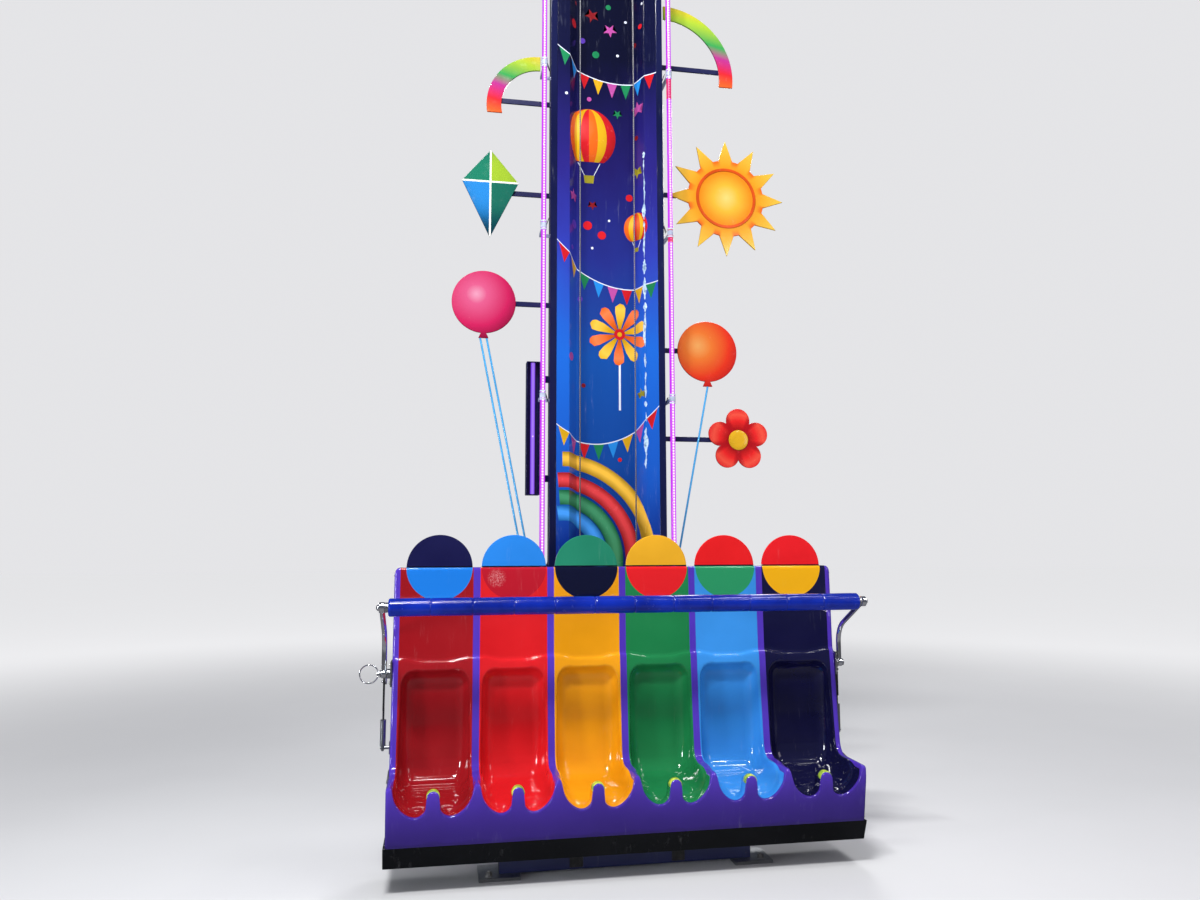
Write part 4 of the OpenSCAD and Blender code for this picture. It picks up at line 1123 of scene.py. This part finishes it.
def build_peeling():
    """The pale strip along the right edge of the channel where the foil has come off."""
    rng = random.Random(3)
    sheet = Print()
    z, drift = 2.05, 0.0
    while z < 3.95:
        run = rng.uniform(0.03, 0.22)
        steps = max(4, int(run / 0.009))
        swell = rng.uniform(0.004, 0.016)
        edges = []
        for i in range(steps + 1):
            t = i / steps
            drift = 0.85 * drift + rng.uniform(-0.0022, 0.0022)
            wide = swell * (0.25 + sin(pi * t)) * rng.uniform(0.55, 1.25)
            middle = FACE_START - 0.007 + drift
            height = z + run * t
            ragged = height + rng.uniform(-0.002, 0.002)
            edges.append(((middle - wide, height), (middle + wide * 0.55, ragged)))
        for (a, b), (c, d) in zip(edges, edges[1:]):
            sheet.shape([a, c, d, b], 0, 5)
        z += run + (rng.uniform(0.004, 0.05) if rng.random() < 0.7 else 0.0)
    tones = [(0.34, (0.1, 0.16, 0.26)), (0.5, (0.4, 0.56, 0.74)), (0.7, (0.72, 0.84, 0.93))]
    sheet.finish("peeled_strip", [mottled("bare_strip", 0.5, (46, 5, 0.7), tones, (120, 4), 0.0008, 0.8)])


# Small parts

def build_bolts():
    up, back = (0, 0, 1), (0, 1, 0)
    anchor, plate_top = 0.69, 0.015
    tower = Shape()
    for x, y in product((-anchor, anchor), repeat=2):
        tower.bolt((x, y, plate_top), up, 0.019)
    flange_z = low_of("column").z + 0.02
    flange = [*product((-0.345, 0.345), (-0.14, 0.0, 0.14, 0.23)), *product((-0.2, 0.0, 0.2), (0.24,))]
    for x, y in flange:
        tower.bolt((x, y, flange_z), up, 0.014)
    low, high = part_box("service_cover")
    for x, z in product((low.x + 0.025, high.x - 0.025), np.linspace(low.z + 0.03, high.z - 0.03, 6)):
        tower.bolt((x, high.y, z), back, 0.007)
    low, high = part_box("head_housing")
    for side, y in product((-1, 1), (-0.15, -0.05, 0.05, 0.15)):
        tower.bolt((side * high.x, y, low.z + 0.03), (side, 0, 0), 0.008)
    zinc = steel("bolt_zinc", (0.62, 0.61, 0.58), 0.3)
    tower.make("tower_bolts", zinc, "tower", "anchor_plates", 30)
    gondola = Shape()
    frame_y = high_of("back_panel").y + 0.04
    for x, z in product((-0.95, -0.6, 0.6, 0.95), (0.3, 0.8, 1.3)):
        gondola.bolt((x, frame_y, z), back, 0.01)
    for side, y, z in product((-1, 1), (-0.03, 0.03), (-0.045, 0.045)):
        gondola.bolt((side * (HALF + 0.008), PIVOT.y + y, PIVOT.z + z), (side, 0, 0), 0.006)
    gondola.make("gondola_bolts", zinc, "gondola", "bar_pivots", 30)


def build_beam_plugs():
    """Ribbed plastic plugs in the open ends of the base beams."""
    low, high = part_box("base_frame")
    inner, corner, beam_z, beam_x = 0.034, 0.006, 0.055, 0.26
    shape = Shape()
    for side in (-1, 1):
        y = low.y if side < 0 else high.y
        for x in (-beam_x, beam_x):
            outline = []
            for cx, cz, start in ((1, 1, 0), (-1, 1, 90), (-1, -1, 180), (1, -1, 270)):
                centre = (x + cx * (inner - corner), beam_z + cz * (inner - corner))
                outline += arc_points(centre, corner, start, start + 90, 5)
            steps = ((0, 0.03), (0, 0.004), (0.06, 0.002), (0.5, 0.0022), (0.55, 0.004), (0.9, 0.004))
            shape.rings([[(px + (x - px) * t, y - side * d, pz + (beam_z - pz) * t) for px, pz in outline]
                         for t, d in steps])
        x = low.x if side < 0 else high.x
        for y in (low.y + 0.04, high.y - 0.04):
            corners = [(inner * u, inner * v) for u, v in ((1, 1), (-1, 1), (-1, -1), (1, -1))]
            steps = ((0.03, 1), (0.003, 1), (0.001, 0.93), (0.001, 0.1))
            shape.rings([[(x - side * d, y + w * u, beam_z + w * v) for u, v in corners] for d, w in steps])
    shape.make("beam_plugs", rubber("plug_black", (0.015, 0.015, 0.016), 0.45), "tower", "base_frame", 30)


def build_tube_clips():
    """Clear clips and short wire loops at the light bars' joints."""
    clips, wires = Shape(), Shape()
    first_joint, module = 0.418, 1.015
    clip = [(0, 0.0158), (0, 0.0185), (0.008, 0.0185), (0.008, 0.0158)]
    for k, side in product(range(6), (-1, 1)):
        x, z = side * LIGHT_X, first_joint + module * k
        for dz in (-0.012, 0.036):
            clips.turned((x, LIGHT_Y, z + dz), (0, 0, 1), clip, 24)
        loop = 0.055 if k % 2 else -0.055
        wires.tube([(x - side * (0.02 + 0.018 * sin(pi * t)), LIGHT_Y + 0.02 + 0.018 * t,
                     z + 0.028 + loop * sin(pi * t)) for t in np.linspace(0, 1, 14)], 0.0022, 8)
    p = Paint("clip_plastic", (0.55, 0.6, 0.75), roughness=0.25)
    p.bump(p.noise(90, 3), 0.0004, 0.5)
    clips.make("light_bar_clips", p.material, "tower", "led_brackets", 40)
    wires.make("light_bar_leads", rubber("lead_black", (0.02, 0.02, 0.03), 0.4), "tower", "led_brackets", 50)


# Cut-outs

def build_raised(name, color, node, centre, steps, sides, sharp):
    """Round raised work on a painted cut-out: steps are (distance in front of its face, radius)."""
    face = low_of(node).y
    shape = Shape()
    rings = [[(x, face - d, z) for x, z in circle(*centre, r, sides)] for d, r in reversed(steps)]
    shape.rings(rings, caps=False)
    shape.make(name, foil(f"{name}_paint", color), "tower", node, sharp)


def build_cutout_details():
    ring = [(0, 0.178), (0.003, 0.18), (0.003, 0.196), (0, 0.198)]
    build_raised("sun_ring", (0.66, 0.08, 0.008), "sun", middle_of("sun"), ring, 72, 30)
    eye = [(0.0, 0.062), (0.003, 0.0615), (0.0055, 0.055), (0.0065, 0.03), (0.0066, 0.001)]
    build_raised("flower_eye", (0.74, 0.41, 0.016), "flower", FLOWER_MIDDLE, eye, 48, 40)


# Solids that only need eased edges

EASED = {
    "base_frame": 0.003, "anchor_plates": 0.0012, "guide_rails": 0.003, "head_housing": 0.0025,
    "service_cover": 0.001, "lamp_housing": 0.002, "led_brackets": 0.001, "kite": 0.002,
    "pink_balloon": 0.002, "orange_balloon": 0.002, "sun": 0.002, "flower": 0.002, "rainbow_arcs": 0.002,
    "scenery_brackets": 0.001, "column": 0.003, "front_plate": 0.0007, "carriage_frame": 0.003,
    "bumper_band": 0.003, "back_panel": 0.0015, "rope_clamps": 0.001,
}
ON_GONDOLA = {"carriage_frame", "bumper_band", "back_panel", "rope_clamps"}


def ease_edges():
    """Copies of plain solids with narrow rounded edges that catch the light."""
    for node, width in EASED.items():
        solid = bmesh.new()
        solid.from_mesh(nodes[node].data)
        bmesh.ops.remove_doubles(solid, verts=solid.verts, dist=1e-5)
        bmesh.ops.dissolve_limit(solid, angle_limit=radians(1), verts=solid.verts, edges=solid.edges)
        edges = [e for e in solid.edges if e.is_manifold and e.calc_face_angle(0) > radians(28)]
        bmesh.ops.bevel(solid, geom=edges, offset=width, offset_type="OFFSET", segments=2, profile=0.5,
                        affect="EDGES", clamp_overlap=True)
        bmesh.ops.recalc_face_normals(solid, faces=solid.faces)
        mesh = bpy.data.meshes.new(f"{node}_eased")
        solid.to_mesh(mesh)
        solid.free()
        mesh.materials.append(nodes[node].data.materials[0])
        smooth(mesh, 50)
        made = add_object(f"{node}_eased", mesh, "gondola" if node in ON_GONDOLA else "tower", node)
        made.modifiers.new("weighted", "WEIGHTED_NORMAL").keep_sharp = True


# Assignments to the CAD nodes that stay

NIGHT = [(0.0, (0.004, 0.01, 0.12)), (0.24, (0.004, 0.018, 0.22)), (0.33, (0.008, 0.085, 0.46)),
         (0.43, (0.01, 0.115, 0.55)), (0.53, (0.024, 0.038, 0.35)), (0.62, (0.018, 0.013, 0.17)),
         (0.72, (0.003, 0.004, 0.03)), (1.0, (0.002, 0.003, 0.018))]
PINKS = [(0.0, (0.64, 0.28, 0.39)), (0.22, (0.58, 0.085, 0.2)), (0.7, (0.5, 0.012, 0.085)),
         (1.0, (0.2, 0.004, 0.03))]
ORANGES = [(0.0, (0.7, 0.32, 0.09)), (0.3, (0.69, 0.16, 0.025)), (0.72, (0.65, 0.03, 0.01)),
           (1.0, (0.37, 0.007, 0.01))]
STRANDS = (60, 6, 0.7, (1, 0.3, 1))
RED_RUNS = [(1, 4.33, 4.46), (1, 3.42, 3.5), (1, 5.4, 5.47)]
LIGHT_LOOK = (0.62, 0.02, 0.95), 0.86, (1.0, 0.8, 1.0)
LAMP_LOOK = (0.22, 0.06, 0.85), 0.9, (0.62, 0.42, 1.0)


def dress_nodes():
    column_top = high_of("column").z
    looks = {
        "base_frame": enamel("base_enamel", (0.02, 0.026, 0.1), 2.0, 0.3),
        "anchor_plates": steel("plate_zinc", (0.5, 0.51, 0.52), 0.38, spangle=True),
        "column": height_paint("column_paint", NIGHT, column_top),
        # The front plate's channel floor gets painted shade.
        "front_plate": height_paint("plate_paint", NIGHT, column_top, painted_floor_shade=0.55),
        "guide_rails": enamel("navy_enamel", (0.004, 0.006, 0.045), 1.0, 0.12),
        "head_housing": enamel("head_enamel", (0.01, 0.012, 0.1), 4.0, 0.25),
        "head_sheaves": steel("sheave_steel", (0.34, 0.34, 0.35), 0.35),
        "foot_sheaves": steel("sheave_steel_low", (0.3, 0.3, 0.31), 0.4),
        "lift_ropes": wire_rope(),
        "service_cover": enamel("cover_enamel", (0.006, 0.01, 0.09), 5.0, 0.3),
        "led_bars": glow("light_tube", *LIGHT_LOOK, LIGHT_X, red_at=RED_RUNS),
        "led_brackets": mottled("bracket_plastic", 0.25, (22, 3),
                                [(0.3, (0.28, 0.31, 0.44)), (0.7, (0.5, 0.55, 0.7))], (80, 3), 0.0004),
        "lamp_housing": enamel("lamp_enamel", (0.004, 0.006, 0.05), 6.0, 0.25),
        "lamp_tube": glow("lamp_glow", *LAMP_LOOK, -middle_of("lamp_tube")[0], 0.9),
        "scenery_stays": foil("stay_paint", (0.08, 0.42, 0.8)),
        "scenery_brackets": enamel("bracket_enamel", (0.006, 0.008, 0.06), 7.0, 0.3),
        "carriage_frame": enamel("carriage_enamel", (0.006, 0.01, 0.1), 8.0, 0.28),
        "guide_rollers": rubber("roller_tread", (0.025, 0.024, 0.024), 0.45),
        "rope_clamps": steel("clamp_steel", (0.5, 0.5, 0.5), 0.35),
        "back_panel": gelcoat("back_gelcoat", (0.05, 0.022, 0.28), 9.0),
        "bumper_band": gelcoat("band_gelcoat", (0.0015, 0.002, 0.003), 10.0, gloss=0.22),
        "bar_pivots": steel("pivot_steel", (0.55, 0.56, 0.58), 0.22),
        "strut_cylinders": steel("cylinder_steel", (0.42, 0.44, 0.47), 0.3),
        "release_ring": chrome("ring_chrome"),
        "lap_bar_tube": steel("bar_steel", (0.6, 0.61, 0.62), 0.25),
        "strut_rod_left": enamel("rod_black_left", (0.01, 0.01, 0.012), 11.0, 0.25),
        "strut_rod_right": enamel("rod_black_right", (0.01, 0.01, 0.012), 12.0, 0.25),
        "kite": kite_paint(),
        "pink_balloon": bloom_paint("pink_balloon_paint", middle_of("pink_balloon", -0.045, 0.06), 0.27,
                                    PINKS),
        "orange_balloon": bloom_paint("orange_balloon_paint", middle_of("orange_balloon", -0.06, 0.05),
                                      0.28, ORANGES),
        "sun": sun_paint(*middle_of("sun")),
        "flower": flower_paint(*FLOWER_MIDDLE),
        "rainbow_arcs": arcs_paint(),
    }
    for node, material in looks.items():
        mesh = nodes[node].data
        mesh.materials.clear()
        mesh.materials.append(material)


def wire_rope():
    p = Paint("wire_rope", (0.22, 0.22, 0.23), metallic=1.0)
    lay = p.node("ShaderNodeTexWave", p.place(), named={"Scale": 55}, wave_type="BANDS",
                 bands_direction="DIAGONAL").outputs[0]
    p.color(p.ramp(lay, [(0.2, (0.05, 0.05, 0.05)), (0.7, (0.32, 0.32, 0.33))]))
    p.rough(0.35, 0.6, p.noise(50))
    p.bump(lay, 0.0012, 0.9)
    return p.material


def kite_paint():
    """Four quarters of the kite in greens and blue, with its two spars."""
    p = Paint("kite_paint", (0.02, 0.3, 0.15), specular_ior_level=0.42)
    low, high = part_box("kite")
    x_mid = (low.x + high.x) / 2
    spar_z = low.z + (high.z - low.z) * 0.635
    right = p.math("GREATER_THAN", p.axis("X"), x_mid)
    upper = p.math("GREATER_THAN", p.axis("Z"), spar_z)
    side = p.mix(right, (0.01, 0.17, 0.1), (0.28, 0.43, 0.025))
    other = p.mix(right, (0.018, 0.2, 0.54), (0.008, 0.12, 0.08))
    quarter = p.mix(upper, other, side)
    far = p.math("DIVIDE", p.far_from(x_mid, spar_z), 0.3)
    shade = p.math("MULTIPLY_ADD", p.noise(9, 4), 0.25, far)
    quarter = p.mix(p.span(shade, 0.45, 1.25), quarter, (0.0, 0.03, 0.05))
    from_spars = [p.math("ABSOLUTE", p.minus(p.axis(a), at)) for a, at in (("X", x_mid), ("Z", spar_z))]
    spar = p.span(p.math("MINIMUM", *from_spars), 0.0065, 0.0045)
    p.color(p.mix(spar, quarter, (0.8, 0.82, 0.75)))
    return p.gloss(0.15)


def sun_paint(x, z):
    """A golden disc with a darker orange between its rays."""
    p = Paint("sun_paint", (0.93, 0.5, 0.03), specular_ior_level=0.42)
    far = p.plus(p.far_from(x, z), p.math("MULTIPLY_ADD", p.noise(11, 3), 0.024, -0.012))
    gold = p.ramp(p.math("DIVIDE", far, 0.38), [
        (0.0, (0.72, 0.53, 0.15)), (0.22, (0.69, 0.39, 0.032)), (0.45, (0.66, 0.21, 0.008)),
        (0.6, (0.67, 0.3, 0.016)), (1.0, (0.7, 0.46, 0.055))])
    between = p.times(p.span(petal_beat(p, x, z, 12), 0.55, 0.05), p.span(far, 0.2, 0.25))
    p.color(p.mix(p.times(between, 0.85), gold, (0.66, 0.08, 0.008)))
    return p.gloss(0.14)


def flower_paint(x, z):
    """Red petals that darken between each other and towards the middle."""
    p = Paint("flower_paint", (0.85, 0.02, 0.02), specular_ior_level=0.42)
    far = p.plus(p.far_from(x, z), p.math("MULTIPLY_ADD", p.noise(13, 3), 0.016, -0.008))
    petal = p.ramp(p.math("DIVIDE", far, 0.2), [
        (0.3, (0.26, 0.003, 0.004)), (0.6, (0.7, 0.016, 0.016)), (0.8, (0.76, 0.075, 0.045)),
        (1.0, (0.64, 0.01, 0.016))])
    between = p.times(p.span(petal_beat(p, x, z, 5), 0.5, 0.02), 0.8)
    p.color(p.mix(between, petal, (0.34, 0.003, 0.008)))
    return p.gloss(0.14)


def arcs_paint():
    """Colours that run round both arcs."""
    p = Paint("arc_paint", (0.3, 0.5, 0.1), coat_weight=0.3, coat_roughness=0.05)
    run = p.plus(p.times(p.axis("Z"), 1.6), p.times(p.axis("X"), 0.35))
    beat = p.math("FRACT", p.math("MULTIPLY_ADD", p.noise(5, 2), 0.05, run))
    p.color(p.ramp(beat, [
        (0.0, (0.03, 0.3, 0.07)), (0.18, (0.35, 0.5, 0.03)), (0.36, (0.74, 0.44, 0.016)),
        (0.55, (0.72, 0.13, 0.016)), (0.72, (0.6, 0.016, 0.024)), (0.88, (0.4, 0.026, 0.22)),
        (1.0, (0.03, 0.3, 0.07))]))
    return p.gloss(0.15, (20, 4), 0.8)


# Stage, lights and camera

def add_floor():
    """A pale floor that glows to the camera far out, so that it runs into the backdrop."""
    mesh = bpy.data.meshes.new("floor")
    size = 60
    corners = [(-size, -size, 0), (size, -size, 0), (size, size, 0), (-size, size, 0)]
    mesh.from_pydata(corners, [], [range(4)])
    link(bpy.data.objects.new("floor", mesh))
    p = Paint("floor_paint", (0.6, 0.6, 0.61), roughness=0.8, specular_ior_level=0.1)
    rays = p.node("ShaderNodeLightPath").outputs
    tint = p.mix(p.noise(0.8, 3), (0.6, 0.6, 0.61), (0.64, 0.64, 0.65))
    p.color(p.mix(rays["Is Glossy Ray"], tint, (0.15, 0.15, 0.16)))
    far = p.span(p.length(p.axis("X"), p.axis("Y")), 3.0, 12.5)
    p.set("Emission Color", (0.78, 0.774, 0.773))
    p.set("Emission Strength", p.times(far, p.times(rays["Is Camera Ray"], 0.828)))
    mesh.materials.append(p.material)


def add_world():
    """Dim light all round, dimmer in reflections, and a pale backdrop for the camera."""
    world = bpy.data.worlds.new("world")
    bpy.context.scene.world = world
    world.use_nodes = True
    tree = world.node_tree
    tree.nodes.clear()
    path = tree.nodes.new("ShaderNodeLightPath")
    last = None
    for color, strength, rays in (((0.86, 0.9, 1.0), 0.25, None), ((0.75, 0.82, 1.0), 0.14, "Is Glossy Ray"),
                                  ((0.78, 0.78, 0.8), 1.0, "Is Camera Ray")):
        light = tree.nodes.new("ShaderNodeBackground")
        light.inputs[0].default_value = (*color, 1)
        light.inputs[1].default_value = strength
        source = light.outputs[0]
        if rays:
            mix = tree.nodes.new("ShaderNodeMixShader")
            for i, made in enumerate((path.outputs[rays], last, source)):
                tree.links.new(made, mix.inputs[i])
            source = mix.outputs[0]
        last = source
    tree.links.new(last, tree.nodes.new("ShaderNodeOutputWorld").inputs[0])


def area_light(name, place, target, size, power, color=(1, 1, 1), spread=180):
    data = bpy.data.lights.new(name, "AREA")
    data.shape = "RECTANGLE"
    data.size, data.size_y = size
    data.energy = power
    data.color = color
    data.spread = radians(spread)
    lamp = link(bpy.data.objects.new(name, data))
    lamp.location = place
    lamp.rotation_euler = (Vector(target) - Vector(place)).to_track_quat("-Z", "Y").to_euler()


def add_lights():
    """A soft key from above, two strips, a tall light on the left, a fill, a rim light and small glints."""
    area_light("key", (-2.4, -4.9, 8.6), (0, -0.5, 1.4), (2.4, 0.4), 720)
    area_light("left_strip", (-1.0, -2.6, 8.6), (-0.6, -0.6, 1.0), (1.5, 0.25), 72)
    area_light("right_strip", (3.3, -2.6, 8.6), (0.6, -0.6, 1.0), (2.2, 0.25), 100)
    area_light("window", (-6.4, -3.6, 1.3), (-0.2, -0.6, 0.9), (0.8, 1.4), 27, (0.9, 0.95, 1.0), spread=70)
    area_light("fill", (4.8, -4.8, 3.0), (0.2, -0.4, 2.2), (2.2, 2.2), 44, (1.0, 0.91, 0.97))
    area_light("rim", (2.6, 4.6, 6.2), (0, 0, 2.2), (2.4, 1.6), 190)
    glints = ((-2.6, -3.4, 4.6), (-3.6, -5.2, 4.2), (2.3, -4.2, 4.8), (3.1, -2.8, 4.4), (-1.2, -2.2, 5.0))
    for i, place in enumerate(glints):
        area_light(f"lamp_{i + 1}", place, (0, -0.6, 0.8), (0.1, 0.1), 9)


def add_camera():
    """The photograph's view: place, angles and focal length fitted on its 1200 by 900 frame."""
    place = (-0.949, -5.16, 1.58)
    focal_px, frame_px, sensor = 876.7, 1200, 36
    yaw, pitch, roll = (radians(a) for a in (10.27, 6.476, -0.118))
    flat = Vector((sin(yaw), cos(yaw), 0))
    right = Vector((cos(yaw), -sin(yaw), 0))
    up = Vector((0, 0, 1)) * cos(pitch) - flat * sin(pitch)
    ahead = flat * cos(pitch) + Vector((0, 0, 1)) * sin(pitch)
    x_axis = right * cos(roll) + up * sin(roll)
    y_axis = up * cos(roll) - right * sin(roll)
    data = bpy.data.cameras.new("camera")
    data.sensor_width = sensor
    data.lens = focal_px / frame_px * sensor
    camera = link(bpy.data.objects.new("camera", data))
    camera.matrix_world = Matrix.Translation(place) @ Matrix((x_axis, y_axis, -ahead)).transposed().to_4x4()
    bpy.context.scene.camera = camera


fibre_inside = mottled("raw_fibre", 0.55, STRANDS, [(0.3, (0.2, 0.19, 0.17)), (0.7, (0.42, 0.41, 0.38))],
                       STRANDS, 0.0012, 0.8)
add_camera()
dress_nodes()
ease_edges()
build_bench()
build_post_caps()
build_discs()
build_pad()
build_arms()
build_caps()
build_print()
build_peeling()
build_bolts()
build_beam_plugs()
build_tube_clips()
build_cutout_details()
add_floor()
add_world()
add_lights()
bpy.context.scene.view_settings.view_transform = "Standard"
